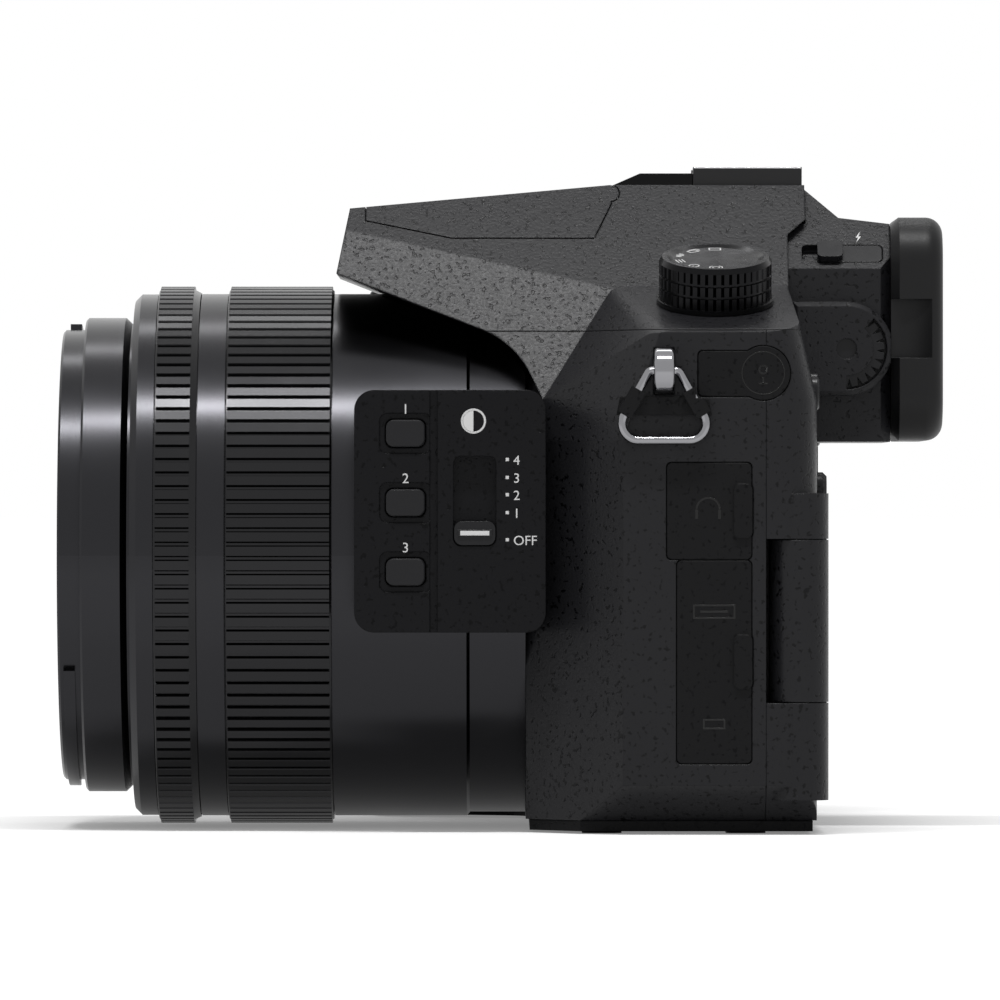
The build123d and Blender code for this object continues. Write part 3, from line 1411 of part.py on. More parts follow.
def front_ring():
    """Front of the lens: trim, hood ring with its bayonet lugs, filter thread's rim and glass seat."""
    back = CONTROL_RING_FRONT - SLIDING_GAP
    tube_front = TRIM_FRONT + TRIM_LENGTH / 3 - SEAT_GAP
    seat = SEAT_RADIUS + SEAT_GAP
    thread_back = RIM_FRONT + FILTER_LENGTH
    glass_front = TRIM_FRONT - GLASS_EDGE / 2
    edge = RIM_LENGTH / 10
    ring = lens_lathe(
        (FILTER_RADIUS, RIM_FRONT + edge),
        (FILTER_RADIUS + edge, RIM_FRONT),
        (RIM_RADIUS - edge, RIM_FRONT),
        (RIM_RADIUS, RIM_FRONT + edge),
        (RIM_RADIUS, HOOD_RING_FRONT),
        (HOOD_RING_RADIUS - edge, HOOD_RING_FRONT),
        (HOOD_RING_RADIUS, HOOD_RING_FRONT + edge),
        (HOOD_RING_RADIUS, HOOD_RING_BACK - HOOD_GROOVE * 2),
        (HOOD_RING_RADIUS - HOOD_GROOVE * 2, HOOD_RING_BACK),
        (HOOD_RING_RADIUS - HOOD_GROOVE * 2, TRIM_FRONT),
        (TRIM_RADIUS - HOOD_GROOVE * 2, TRIM_FRONT),
        (TRIM_RADIUS, TRIM_FRONT + HOOD_GROOVE * 2),
        (TRIM_RADIUS, back),
        (seat, back),
        (seat, tube_front),
        (GLASS_RADIUS + SLIDING_GAP, tube_front),
        (GLASS_RADIUS + SLIDING_GAP, glass_front - SEAT_GAP),
        (GLASS_FACE_RADIUS + FREE_GAP, glass_front - SEAT_GAP),
        (GLASS_FACE_RADIUS + FREE_GAP, glass_front - GLASS_LIP),
        (FILTER_RADIUS - GLASS_LIP, thread_back),
        (FILTER_RADIUS, thread_back),
    )
    return ring + bayonet_lugs()


def bayonet_lugs():
    """Two shallow lugs on the rim that a lens hood locks on."""
    front = RIM_FRONT + RIM_LENGTH / 4
    back = HOOD_RING_FRONT - RIM_LENGTH / 4
    reach = (RIM_RADIUS + HOOD_RING_RADIUS) / 2
    root = RIM_RADIUS - HOOD_GROOVE
    face = outline((root, front), (reach, front), (reach, back), (root, back))
    lug = revolve(face, Axis.Y, revolution_arc=LUG_SWEEP)
    placed = Rot(0, LUG_SWEEP / 2, 0) * lug
    return [Pos(0, 0, AXIS_HEIGHT) * Rot(0, turn, 0) * placed for turn in (0, 180)]


def front_element():
    """Domed front glass."""
    front = TRIM_FRONT - GLASS_EDGE / 2
    back = front + GLASS_EDGE
    apex = front - GLASS_DOME
    sphere = (GLASS_FACE_RADIUS**2 + GLASS_DOME**2) / (2 * GLASS_DOME)
    turn = asin(GLASS_FACE_RADIUS / sphere) / 2
    halfway = (sphere * sin(turn), apex + sphere * (1 - cos(turn)))
    dome = ThreePointArc((GLASS_FACE_RADIUS, front), halfway, (0, apex))
    rest = Polyline(
        (0, apex), (0, back), (GLASS_RADIUS, back), (GLASS_RADIUS, front), (GLASS_FACE_RADIUS, front)
    )
    return Pos(0, 0, AXIS_HEIGHT) * revolve(make_face([dome, rest]), Axis.Y)


def ribbed_ring(front, back, front_edge, back_edge):
    """A turning ring with ribs all round between two plain edges."""
    core = RING_RADIUS - RIB_DEPTH
    bore = SEAT_RADIUS + SLIDING_GAP
    rib = [(0, RING_RADIUS), (RIB_TOP_SHARE, RING_RADIUS)] + [(share, core) for share in RIB_FLOOR_SHARES]
    ribs = []
    for index in range(RIB_COUNT):
        for share, reach in rib:
            turn = 2 * pi * (index + share) / RIB_COUNT
            ribs.append((reach * cos(turn), AXIS_HEIGHT + reach * sin(turn)))
    band = outline(*ribs) - disc((0, AXIS_HEIGHT), bore)
    ring = prism_y(band, front + front_edge, back - back_edge)
    plain = lens_lathe(
        (bore, front),
        (core - front_edge / 2, front),
        (core, front + front_edge / 2),
        (core, back - back_edge),
        (core - back_edge / 2, back),
        (bore, back),
    )
    return ring + plain


def control_ring():
    """Narrow ribbed ring near the front of the lens."""
    return ribbed_ring(CONTROL_RING_FRONT, CONTROL_RING_BACK, RIB_DEPTH / 2, RIB_DEPTH * 2)


def zoom_ring():
    """Wide ribbed zoom ring."""
    return ribbed_ring(ZOOM_RING_FRONT, ZOOM_RING_BACK, RIB_DEPTH / 2, RIB_DEPTH / 2)


def fn_place(index):
    """Middle of one of the three panel buttons, in (y, z)."""
    return (PANEL_FRONT + FN_START + FN_WIDTH / 2, FN_LOWEST + FN_HEIGHT / 2 + index * FN_PITCH)


def fn_face(index, gap=0):
    """Outline of one panel button, widened by some gap."""
    y, z = fn_place(index)
    half_width, half_height = FN_WIDTH / 2 + gap, FN_HEIGHT / 2 + gap
    return panel((y - half_width, z - half_height), (y + half_width, z + half_height), FN_ROUND)


def switch_face(low, high, gap=0):
    """Outline of the switch slot or knob between two heights."""
    start = PANEL_FRONT + SWITCH_START
    return panel((start - gap, low - gap), (start + SWITCH_WIDTH + gap, high + gap), FN_ROUND)


def lens_side_panel():
    """Control panel moulded to the barrel: button side, raised switch side and a groove between."""
    back = PANEL_FRONT + PANEL_LENGTH
    step = PANEL_FRONT + PANEL_STEP_START
    flat = PANEL_FACE - PANEL_STEP
    face = panel((PANEL_FRONT, PANEL_LOW), (back, PANEL_HIGH), PANEL_ROUND)
    pad = prism_x(face, 0, PANEL_FACE)
    pad -= corner_block((flat, PANEL_FRONT - OVERRUN, 0), (PANEL_FACE + OVERRUN, step, SIDE_TOP))
    pad -= corner_block((flat - PANEL_STEP, step - PANEL_GROOVE, 0), (PANEL_FACE, step, SIDE_TOP))
    pad -= turned_y_at(BARREL_RADIUS + SEAT_GAP, PANEL_FRONT - OVERRUN, BODY_FRONT)
    pad -= turned_y_at(SPIGOT_RADIUS, BODY_FRONT - OVERRUN, 0)
    pad -= left_block(-SEAT_GAP)
    for index in range(FN_COUNT):
        pad -= prism_x(fn_face(index, FN_DISH), flat - FN_DISH_DEPTH, PANEL_FACE)
        pad -= prism_x(fn_face(index, SLIDING_GAP), flat - FN_STEM - FN_TRAVEL - FREE_GAP, PANEL_FACE)
    recess = switch_face(SWITCH_LOW, SWITCH_HIGH, SLIDING_GAP)
    return pad - prism_x(recess, PANEL_FACE - SWITCH_DEPTH, PANEL_FACE + OVERRUN)


def turned_y_at(radius, low, high):
    """A cylinder about the lens axis."""
    return cylinder_y((0, AXIS_HEIGHT), radius, low, high)


def fn_button(index):
    """One push button of the panel, counted from the bottom."""
    flat = PANEL_FACE - PANEL_STEP
    top = flat + FN_STAND
    button = prism_x(fn_face(index), flat - FN_STEM, top)
    return chamfer(button.faces().sort_by(Axis.X)[-1].outer_wire().edges(), FN_STAND / 3)


def nd_switch():
    """Sliding switch knob at the bottom of its slot, with a raised bar across it."""
    knob = prism_x(
        switch_face(SWITCH_LOW, SWITCH_LOW + SWITCH_KNOB_HEIGHT),
        PANEL_FACE - SWITCH_DEPTH + SEAT_GAP,
        PANEL_FACE + SWITCH_STAND / 2,
    )
    bar_low = SWITCH_LOW + SWITCH_KNOB_HEIGHT / 2 - SWITCH_STAND
    start = PANEL_FRONT + SWITCH_START + SWITCH_STAND
    bar = corner_block(
        (PANEL_FACE, start, bar_low),
        (PANEL_FACE + SWITCH_STAND, start + SWITCH_WIDTH - 2 * SWITCH_STAND, bar_low + 2 * SWITCH_STAND),
    )
    return knob + bar


def lug_pair():
    """Strap lugs: a plate with a round eye on each side of the body."""
    left_x = LEFT_WIDTH + LUG_REACH
    half = LUG_THICKNESS / 2
    face = disc((left_x, LUG_Z), LUG_RADIUS)
    face += Pos(left_x - LUG_RADIUS / 2, LUG_Z) * Rectangle(LUG_RADIUS, 2 * LUG_RADIUS)
    left = prism_y(face, LUG_Y - half, LUG_Y + half)
    rims = [edge_near(left, (left_x + LUG_RADIUS, LUG_Y + side * half, LUG_Z)) for side in (1, -1)]
    left = fillet(rims, LUG_EDGE)
    eye = (left_x, LUG_Z + LUG_EYE_RISE)
    left -= cylinder_y(eye, LUG_HOLE, LUG_Y - half - OVERRUN, LUG_Y + half + OVERRUN)
    right = Pos(LEFT_WIDTH - RIGHT_WIDTH, 0, 0) * mirrored(left)
    return left, right


def strap_lugs():
    """Both strap lugs."""
    return Compound(children=list(lug_pair()))


def ring_height():
    """Height of the ring's top wire, resting in the lug's eye."""
    return LUG_Z + LUG_EYE_RISE - LUG_HOLE + RING_WIRE + RUNNING_GAP


def ring_path(top, drop):
    """Centre line of the ring in (y, z), from its top corner down one side."""
    share = drop / RING_DROP
    half = RING_TOP_HALF + (RING_FOOT_HALF - RING_TOP_HALF) * share
    return [(LUG_Y + side * half, top - drop) for side in (1, -1)]


def strap_ring_left():
    """Three-sided wire ring hanging in the left lug."""
    x = LEFT_WIDTH + LUG_REACH
    top = ring_height()
    head = ring_path(top, 0)
    foot = ring_path(top, RING_DROP)
    corners = [(x, *head[0]), (x, *foot[0]), (x, *foot[1]), (x, *head[1])]
    rounds = [RING_HEAD_ROUND, RING_ROUND, RING_ROUND, RING_HEAD_ROUND]
    path = FilletPolyline(*corners, radius=rounds, close=True)
    start = path.position_at(0)
    section = Plane(origin=start, z_dir=path.tangent_at(0)) * Circle(RING_WIRE)
    return sweep(section, path)


def ring_guard_left():
    """Guard that the ring carries: a plate behind it and a wing round each slanted side."""
    x = LEFT_WIDTH + LUG_REACH
    top = ring_height()
    low = RING_DROP * GUARD_LOW_SHARE
    high = LUG_Z - LUG_RADIUS - FREE_GAP
    outer = RING_WIRE + GUARD_WALL
    plate_out = x - RING_WIRE
    plate_in = plate_out - GUARD_THICKNESS
    half = ring_path(top, low)[0][0] - LUG_Y + outer
    guard = prism_x(
        outline(
            (LUG_Y - half, top - low),
            (LUG_Y + half, top - low),
            (LUG_Y + half - GUARD_WALL, high),
            (LUG_Y - half + GUARD_WALL, high),
        ),
        plate_in,
        plate_out,
    )
    for side in (1, -1):
        lower = ring_path(top, low)[0 if side == 1 else 1]
        upper = ring_path(top, low - GUARD_WING)[0 if side == 1 else 1]
        start, end = Vector(x, *lower), Vector(x, *upper)
        frame = Plane(origin=start, x_dir=(1, 0, 0), z_dir=end - start)
        guard += extrude(frame * Rectangle(2 * outer, 2 * outer), GUARD_WING)
    for side in (0, 1):
        start = Vector(x, *ring_path(top, RING_DROP)[side])
        end = Vector(x, *ring_path(top, 0)[side])
        frame = Plane(origin=start, z_dir=end - start)
        guard -= extrude(frame * Circle(RING_WIRE + RUNNING_GAP), (end - start).length)
    swing = LUG_RADIUS + LUG_Z - top + FREE_GAP
    half = LUG_THICKNESS / 2 + FREE_GAP
    guard -= cylinder_y((x, top), swing, LUG_Y - half, LUG_Y + half)
    # The microphone door's front edge swings past the rear wing
    door_front, door_low = MIC_DOOR[0]
    room_low = (plate_in - OVERRUN, door_front - GUARD_DOOR_GAP, door_low - FREE_GAP)
    room_high = (x + outer + OVERRUN, LUG_Y + RING_FOOT_HALF + OVERRUN, top)
    return guard - corner_block(room_low, room_high)


def to_right(solid):
    """A piece of the left lug's set, mirrored onto the right side."""
    return Pos(LEFT_WIDTH - RIGHT_WIDTH, 0, 0) * mirrored(solid)


def strap_ring_right():
    """Ring in the right lug."""
    return to_right(strap_ring_left())


def ring_guard_right():
    """Guard on the right ring."""
    return to_right(ring_guard_left())


def monitor_case():
    """Case of the monitor with a shallow bed for the screen."""
    back = MONITOR_FRONT + MONITOR_THICKNESS
    face = panel((MONITOR_RIGHT, MONITOR_LOW), (MONITOR_LEFT, MONITOR_HIGH), MONITOR_ROUND)
    case = prism_y(face, MONITOR_FRONT, back)
    case = chamfer(case.faces().sort_by(Axis.Y)[-1].outer_wire().edges(), MONITOR_EDGE_GAP)
    return case - prism_y(screen_face(SEAT_GAP), back - SCREEN_THICKNESS - SEAT_GAP, back + OVERRUN)


def screen_face(gap=0):
    """Outline of the screen's glass in the closed monitor."""
    side, end = SCREEN_SIDE_BORDER - gap, SCREEN_END_BORDER - gap
    low, high = (MONITOR_RIGHT + side, MONITOR_LOW + end), (MONITOR_LEFT - side, MONITOR_HIGH - end)
    return panel(low, high, DOOR_ROUND)


def monitor_screen():
    """Glass of the monitor, flush with its case."""
    back = MONITOR_FRONT + MONITOR_THICKNESS
    return prism_y(screen_face(), back - SCREEN_THICKNESS, back)


def monitor_hinge():
    """Hinge block with a pin into each ear and an arm to the monitor's edge."""
    left = MONITOR_LEFT + SEAT_GAP
    back = MONITOR_FRONT + MONITOR_THICKNESS
    block = hinge_disc(HINGE_RADIUS, HINGE_LOW, HINGE_HIGH)
    block += corner_block((left, MONITOR_FRONT, HINGE_LOW), (HINGE_X, back, HINGE_HIGH))
    return block + hinge_disc(HINGE_PIN, HINGE_LOW - HINGE_PIN_LENGTH, HINGE_HIGH + HINGE_PIN_LENGTH)


def tunnel_face(gap=0):
    """Outline of the eyepiece tunnel, seen from behind."""
    half = TUNNEL_HALF + gap
    return panel((-half, TUNNEL_LOW - gap), (half, TUNNEL_HIGH + gap), TUNNEL_ROUND)


def diopter_boss_face():
    """Boss round the sight dial in (y, z): round at the back, straight to the front."""
    low = DIOPTER_Z - DIOPTER_BOSS_RADIUS
    high = DIOPTER_Z + DIOPTER_BOSS_RADIUS
    front = DIOPTER_Y - DIOPTER_BOSS_REACH
    straight = outline((front, low), (DIOPTER_Y, low), (DIOPTER_Y, high), (front, high))
    return straight + disc((DIOPTER_Y, DIOPTER_Z), DIOPTER_BOSS_RADIUS)


def evf_housing():
    """Eyepiece housing: tunnel for the eyepiece, boss of the sight dial and slot of the flash release."""
    shell = prism_y(evf_outline(), EVF_FRONT, EVF_BACK) + evf_wedge()
    uprights = [edge_near(shell, (side * EVF_HALF, EVF_BACK, TUNNEL_HIGH - EVF_ROUND)) for side in (1, -1)]
    shell = chamfer(uprights, EVF_ROUND)
    shell -= prism_y(tunnel_face(), EVF_FRONT + TUNNEL_WALL, EVF_BACK + OVERRUN)
    boss_face = EVF_HALF + DIOPTER_BOSS_STAND
    boss = prism_x(diopter_boss_face(), EVF_HALF - EVF_ROUND, boss_face)
    boss = chamfer(boss.faces().sort_by(Axis.X)[-1].outer_wire().edges(), DIOPTER_BOSS_EDGE)
    shell += boss & corner_block((0, EVF_FRONT, EVF_LOW), (boss_face, EVF_BACK, EVF_HIGH))
    place, radius = (DIOPTER_Y, DIOPTER_Z), DIOPTER_RADIUS + FREE_GAP
    room = cylinder_x(place, radius, boss_face - DIOPTER_THICKNESS, boss_face - DIOPTER_CAP)
    room += prism_x(diopter_window(radius), boss_face - DIOPTER_THICKNESS, boss_face + OVERRUN)
    pin = cylinder_x(
        (DIOPTER_Y, DIOPTER_Z), HINGE_PIN + RUNNING_GAP, boss_face - 2 * DIOPTER_THICKNESS, boss_face
    )
    shell -= [room, pin]
    return shell - release_slot()


def diopter_window(radius):
    """Curved window beside the sight dial's cap, through which its teeth are turned."""
    start, end = DIOPTER_WINDOW
    reach = 2 * radius
    corners = [(0, 0)]
    for share in (0, 1 / 2, 1):
        turn = radians(start + (end - start) * share)
        corners.append((reach * cos(turn), reach * sin(turn)))
    face = (Circle(radius) - Circle(DIOPTER_CAP_RADIUS)) & outline(*corners)
    return Pos(DIOPTER_Y, DIOPTER_Z) * face


def diopter_dial():
    """Toothed sight dial under its cap, on a short pin."""
    outer = EVF_HALF + DIOPTER_BOSS_STAND - DIOPTER_CAP - SLIDING_GAP
    inner = EVF_HALF + DIOPTER_BOSS_STAND - DIOPTER_THICKNESS + SLIDING_GAP
    wheel = prism_x(
        Pos(DIOPTER_Y, DIOPTER_Z) * toothed(DIOPTER_RADIUS, DIOPTER_TEETH, DIOPTER_TOOTH), inner, outer
    )
    pin = cylinder_x((DIOPTER_Y, DIOPTER_Z), HINGE_PIN, inner - DIOPTER_THICKNESS + FREE_GAP, inner)
    return wheel + pin


def release_slot():
    """Slot of the flash release in the facet."""
    length = RELEASE_LENGTH
    face = Pos(length / 2, 0) * RectangleRounded(length, RELEASE_WIDTH, DOOR_ROUND)
    frame = flank_place(RELEASE_START)
    return extrude(frame.offset(-RELEASE_DEPTH) * face, RELEASE_DEPTH + OVERRUN)


def flash_lever():
    """Flash release: a slide with a raised finger grip at its front end."""
    start = RELEASE_LENGTH - RELEASE_SLIDE - SLIDING_GAP
    frame = flank_place(RELEASE_START)
    width = RELEASE_WIDTH - 2 * SLIDING_GAP
    slide = Pos(start + RELEASE_SLIDE / 2, 0) * RectangleRounded(RELEASE_SLIDE, width, DOOR_ROUND)
    grip = Pos(start + RELEASE_GRIP / 2, 0) * RectangleRounded(RELEASE_GRIP, width, DOOR_ROUND)
    low = SEAT_GAP - RELEASE_DEPTH
    lever = extrude(frame.offset(low) * slide, -low)
    return lever + extrude(frame.offset(low) * grip, RELEASE_STAND - low)


def eyecup():
    """Soft eyecup: a frame round the eyepiece that flares to a rounded lip."""
    front = EVF_BACK + SEAT_GAP
    back = front + EYECUP_DEPTH
    face = panel((-EYECUP_HALF, EYECUP_LOW), (EYECUP_HALF, EYECUP_HIGH), EYECUP_ROUND)
    cup = prism_y(face, front, back)
    cup = fillet(cup.faces().sort_by(Axis.Y)[-1].outer_wire().edges(), EYECUP_LIP)
    cup = chamfer(cup.faces().sort_by(Axis.Y)[0].outer_wire().edges(), EYECUP_LIP / 2)
    funnel = loft([
        Plane.XZ.offset(-front + SEAT_GAP) * tunnel_face(),
        Plane.XZ.offset(-back) * tunnel_face(EYECUP_ROUND - EYECUP_LIP),
    ])
    cup -= funnel
    middle = (EYECUP_LOW + EYECUP_HIGH) / 2
    low, high = middle - EYECUP_DISH_RADIUS / 2, middle + EYECUP_DISH_RADIUS / 2
    dish_x = EYECUP_HALF + EYECUP_DISH_RADIUS - EYECUP_DISH_DEPTH
    for side in (1, -1):
        cup -= cylinder_z((side * dish_x, (front + back) / 2 - EYECUP_LIP), EYECUP_DISH_RADIUS, low, high)
    return cup


def eyepiece_lens():
    """Glass of the eyepiece, set back in the tunnel."""
    back = EVF_BACK - EYEPIECE_INSET
    return prism_y(tunnel_face(-SEAT_GAP), back - EYEPIECE_THICKNESS, back)


def flash_head(form_hump):
    """Flash head: the hump's lid with its rounded heel, and the lamp block below it."""
    lid = form_hump & prism_x(flash_outline(), -SKIRT_HALF, SKIRT_HALF)
    head = lid + (lamp_block() & form_hump)
    return head - window_room(SEAT_GAP)


def window_room(gap=0):
    """Seat of the flash window in the front of the lamp."""
    half = WINDOW_HALF + gap
    low = LAMP_LOW + WINDOW_THICKNESS / 2
    face = panel((-half, low - gap), (half, low + WINDOW_HEIGHT + gap), BUTTON_EDGE)
    return prism_y(face, LAMP_FRONT, LAMP_FRONT + WINDOW_THICKNESS + gap)


def flash_window():
    """Clear window of the flash."""
    return window_room()


def hot_shoe():
    """Accessory shoe: a base between two rails with inward lips, closed at the front."""
    outer = SHOE_INNER_HALF + SHOE_SIDE
    base_low = HUMP_TOP - SHOE_BASE
    slot_top = HUMP_TOP + SHOE_SLOT
    top = slot_top + SHOE_LIP
    back = SHOE_FRONT + SHOE_LENGTH
    section = outline(
        (-outer, base_low),
        (outer, base_low),
        (outer, top),
        (SHOE_OPENING_HALF, top),
        (SHOE_OPENING_HALF, slot_top),
        (SHOE_INNER_HALF, slot_top),
        (SHOE_INNER_HALF, HUMP_TOP),
        (-SHOE_INNER_HALF, HUMP_TOP),
        (-SHOE_INNER_HALF, slot_top),
        (-SHOE_OPENING_HALF, slot_top),
        (-SHOE_OPENING_HALF, top),
        (-outer, top),
    )
    stop = corner_block((-outer, SHOE_FRONT, base_low), (outer, SHOE_FRONT + SHOE_SIDE, slot_top))
    return prism_y(section, SHOE_FRONT, back) + stop


def shoe_seat():
    """Recess in the top for the shoe's base."""
    outer = SHOE_INNER_HALF + SHOE_SIDE + SEAT_GAP
    return corner_block(
        (-outer, SHOE_FRONT - SEAT_GAP, HUMP_TOP - SHOE_BASE - SEAT_GAP),
        (outer, HUMP_BACK + OVERRUN, HUMP_TOP + HOOD_RISE + OVERRUN),
    )


def frame_plate():
    """Front plate of the frame, which the lens is screwed to."""
    front = BODY_FRONT + WALL + 2 * SEAT_GAP
    left = LEFT_WIDTH - SLANT_WIDTH - WALL
    top = SIDE_TOP - WALL
    plate = corner_block((FRAME_RIGHT, front, BASE_TOP + WALL), (left, front + PLATE_THICKNESS, top))
    return plate - turned_y_at(TAIL_RADIUS + SEAT_GAP, front - OVERRUN, front + PLATE_THICKNESS + OVERRUN)


def main_chassis():
    """Metal frame: lens plate, floor with the tripod boss, and the battery well in the grip."""
    front = BODY_FRONT + WALL + 2 * SEAT_GAP
    floor = BASE_TOP + WALL + SEAT_GAP
    left = LEFT_WIDTH - SLANT_WIDTH - WALL
    chassis = frame_plate()
    chassis += corner_block((FRAME_RIGHT, front, floor), (left, COVER_PARTING - WALL, floor + FRAME_BRIDGE))
    chassis &= left_block(WALL + SEAT_GAP) + right_block(WALL + SEAT_GAP)
    chassis += cylinder_z((0, 0), BOSS_RADIUS, 0, floor + FRAME_BRIDGE)
    chassis += battery_bay(WELL_GAP + WELL_WALL) & corner_block(
        (-RIGHT_WIDTH, GRIP_FRONT, BASE_TOP), (0, BODY_BACK, SIDE_TOP)
    )
    arm_y = BATTERY_Y + BATTERY_SIZE[1] / 2
    chassis += corner_block((BATTERY_X, front, floor), (FRAME_RIGHT + OVERRUN, arm_y, floor + FRAME_BRIDGE))
    chassis -= battery_bay(WELL_GAP)
    return chassis - cylinder_z((0, 0), SOCKET_RADIUS, -OVERRUN, SOCKET_LENGTH)


def battery_pack():
    """Rechargeable battery in its well."""
    half_x, half_y = BATTERY_SIZE[0] / 2, BATTERY_SIZE[1] / 2
    face = panel(
        (BATTERY_X - half_x, BATTERY_Y - half_y), (BATTERY_X + half_x, BATTERY_Y + half_y), DOOR_ROUND
    )
    low = BASE_TOP + SEAT_GAP
    return prism_z(face, low, low + BATTERY_SIZE[2])


def tail_end():
    """Where the tail of the lens ends."""
    return BODY_FRONT + WALL + SEAT_GAP + TAIL_LENGTH


def sensor_unit():
    """Image sensor on its plate, with an ear on each side that is screwed to the tail of the lens."""
    width, height, thickness = SENSOR_PLATE
    chip_width, chip_height, chip_depth = SENSOR_CHIP
    start = tail_end() + SEAT_GAP
    plate = prism_y(
        panel((-width / 2, AXIS_HEIGHT - height / 2), (width / 2, AXIS_HEIGHT + height / 2), WALL),
        start,
        start + thickness,
    )
    low = (-chip_width / 2, start - chip_depth, AXIS_HEIGHT - chip_height / 2)
    high = (chip_width / 2, start, AXIS_HEIGHT + chip_height / 2)
    plate += corner_block(low, high)
    reach = TAIL_RADIUS + WALL
    ears = panel((-reach, AXIS_HEIGHT - WALL), (reach, AXIS_HEIGHT + WALL), DOOR_ROUND)
    return plate + prism_y(ears, start, start + thickness)


def main_board():
    """Circuit board behind the sensor, with the sockets' side board on the left."""
    floor = BASE_TOP + WALL + SEAT_GAP + FRAME_BRIDGE + SEAT_GAP
    left = LEFT_WIDTH - 2 * WALL - SOCKET_WALL
    board = corner_block((BOARD_RIGHT, BOARD_Y, floor), (left, BOARD_Y + BOARD_THICKNESS, BOARD_TOP))
    board += corner_block(
        (left - BOARD_THICKNESS, PHONES_DOOR[0][0], floor), (left, BOARD_Y + OVERRUN, PHONES_DOOR[1][1])
    )
    board += corner_block(
        (left - BOARD_THICKNESS, MIC_DOOR[0][0], floor), (left, BOARD_Y + OVERRUN, MIC_DOOR[1][1])
    )
    board &= left_block(WALL + SEAT_GAP) + right_block(WALL + SEAT_GAP)
    outer = LEFT_WIDTH - DOOR_THICKNESS - FREE_GAP
    board += [prism_x(face, left - BOARD_THICKNESS, outer) for face in socket_cutter()]
    for place in jack_places():
        board -= cylinder_x(place, JACK_BORE, left, outer + OVERRUN)
    for y, z in data_sockets():
        opening = panel(
            (y - SOCKET_HALF_WIDTH, z - SOCKET_HALF_HEIGHT), (y + SOCKET_HALF_WIDTH, z + SOCKET_HALF_HEIGHT),
            SOCKET_WALL,
        )
        board -= prism_x(opening, left, outer + OVERRUN)
    chip = SENSOR_CHIP[0]
    for x, z in ((0, AXIS_HEIGHT), (-chip * 2, AXIS_HEIGHT + chip / 2), (chip * 3 / 2, AXIS_HEIGHT - chip)):
        low = (x - chip / 2, BOARD_Y - CHIP_HEIGHT, z - chip / 2)
        board += corner_block(low, (x + chip / 2, BOARD_Y, z + chip / 2))
    return board


def card_middle():
    """Height of the middle of the card door."""
    (front, low), (back, high) = CARD_DOOR
    return (low + high) / 2


def card_box(gap=0):
    """Outside of the card reader."""
    length, depth, height = CARD_SIZE
    left = -RIGHT_WIDTH + CARD_DOOR_THICKNESS + FREE_GAP
    low = (left, BOARD_Y - SEAT_GAP - depth - gap, card_middle() - height / 2 - gap)
    return corner_block(low, (left + length, BOARD_Y - SEAT_GAP, card_middle() + height / 2 + gap))


def card_opening():
    """Opening in the side wall in front of the card reader."""
    length, depth, height = CARD_SIZE
    half = height / 2 + SLIDING_GAP
    front = BOARD_Y - SEAT_GAP - depth - SLIDING_GAP
    low = (-RIGHT_WIDTH - OVERRUN, front, card_middle() - half)
    return corner_block(low, (-RIGHT_WIDTH + 2 * WALL, BOARD_Y + SLIDING_GAP, card_middle() + half))


def card_slot():
    """Card reader on the circuit board, open to the card door."""
    length, depth, height = CARD_SIZE
    middle_y = BOARD_Y - SEAT_GAP - depth / 2
    left = -RIGHT_WIDTH
    slot = corner_block(
        (left, middle_y - CARD_SLOT / 2, card_middle() - height / 2 + WALL / 2),
        (left + length - WALL, middle_y + CARD_SLOT / 2, card_middle() + height / 2 - WALL / 2),
    )
    return card_box() - slot


def build():
    """Every node's name and its solid."""
    form = body_form()
    hollow = body_hollow()
    nodes = {
        "front_cover": front_cover(form, hollow),
        "rear_cover": rear_cover(form, hollow),
        "top_cover": top_cover(form, hollow),
        "flash_head": flash_head(form),
    }
    makers = (
        base_cover, hand_grip, thumb_rest, main_chassis, sensor_unit, main_board, battery_pack, card_slot,
        lens_barrel, front_ring, front_element, lens_side_panel, guide_rods, iris_unit, zoom_group,
        focus_group, control_ring, zoom_ring, nd_switch, hot_shoe, evf_housing, eyecup, eyepiece_lens,
        diopter_dial, flash_lever, flash_window, strap_lugs, strap_ring_left, ring_guard_left,
        strap_ring_right, ring_guard_right, drive_dial, mode_dial, power_lever, shutter_button, zoom_lever,
        record_button, rear_dial, view_button, af_lever, af_lock_button, play_button, menu_button,
        direction_pad, monitor_hinge, monitor_case, monitor_screen, mic_port_cover, phones_port_cover,
        data_port_cover, battery_door, battery_latch, card_door,
    )
    for make in makers:
        nodes[make.__name__] = make()
    for index in range(FN_COUNT):
        nodes[f"fn_button_{index + 1}"] = fn_button(index)
    return nodes


if __name__ == "__main__":
    os.makedirs("parts", exist_ok=True)
    for name, solid in build().items():
        export_step(solid, f"parts/{name}.step")
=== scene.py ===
"""Studio picture of a black bridge camera: finishes, fine detail, floor, lamps and view.

Metres. The lens looks along -Y, +X is the user's left hand and +Z is up.
"""

from __future__ import annotations

import json
import logging
import math
from dataclasses import dataclass, field
from enum import Enum
from typing import Iterable, Sequence, Union

import bmesh
import bpy
from mathutils import Matrix, Vector
from mathutils.bvhtree import BVHTree


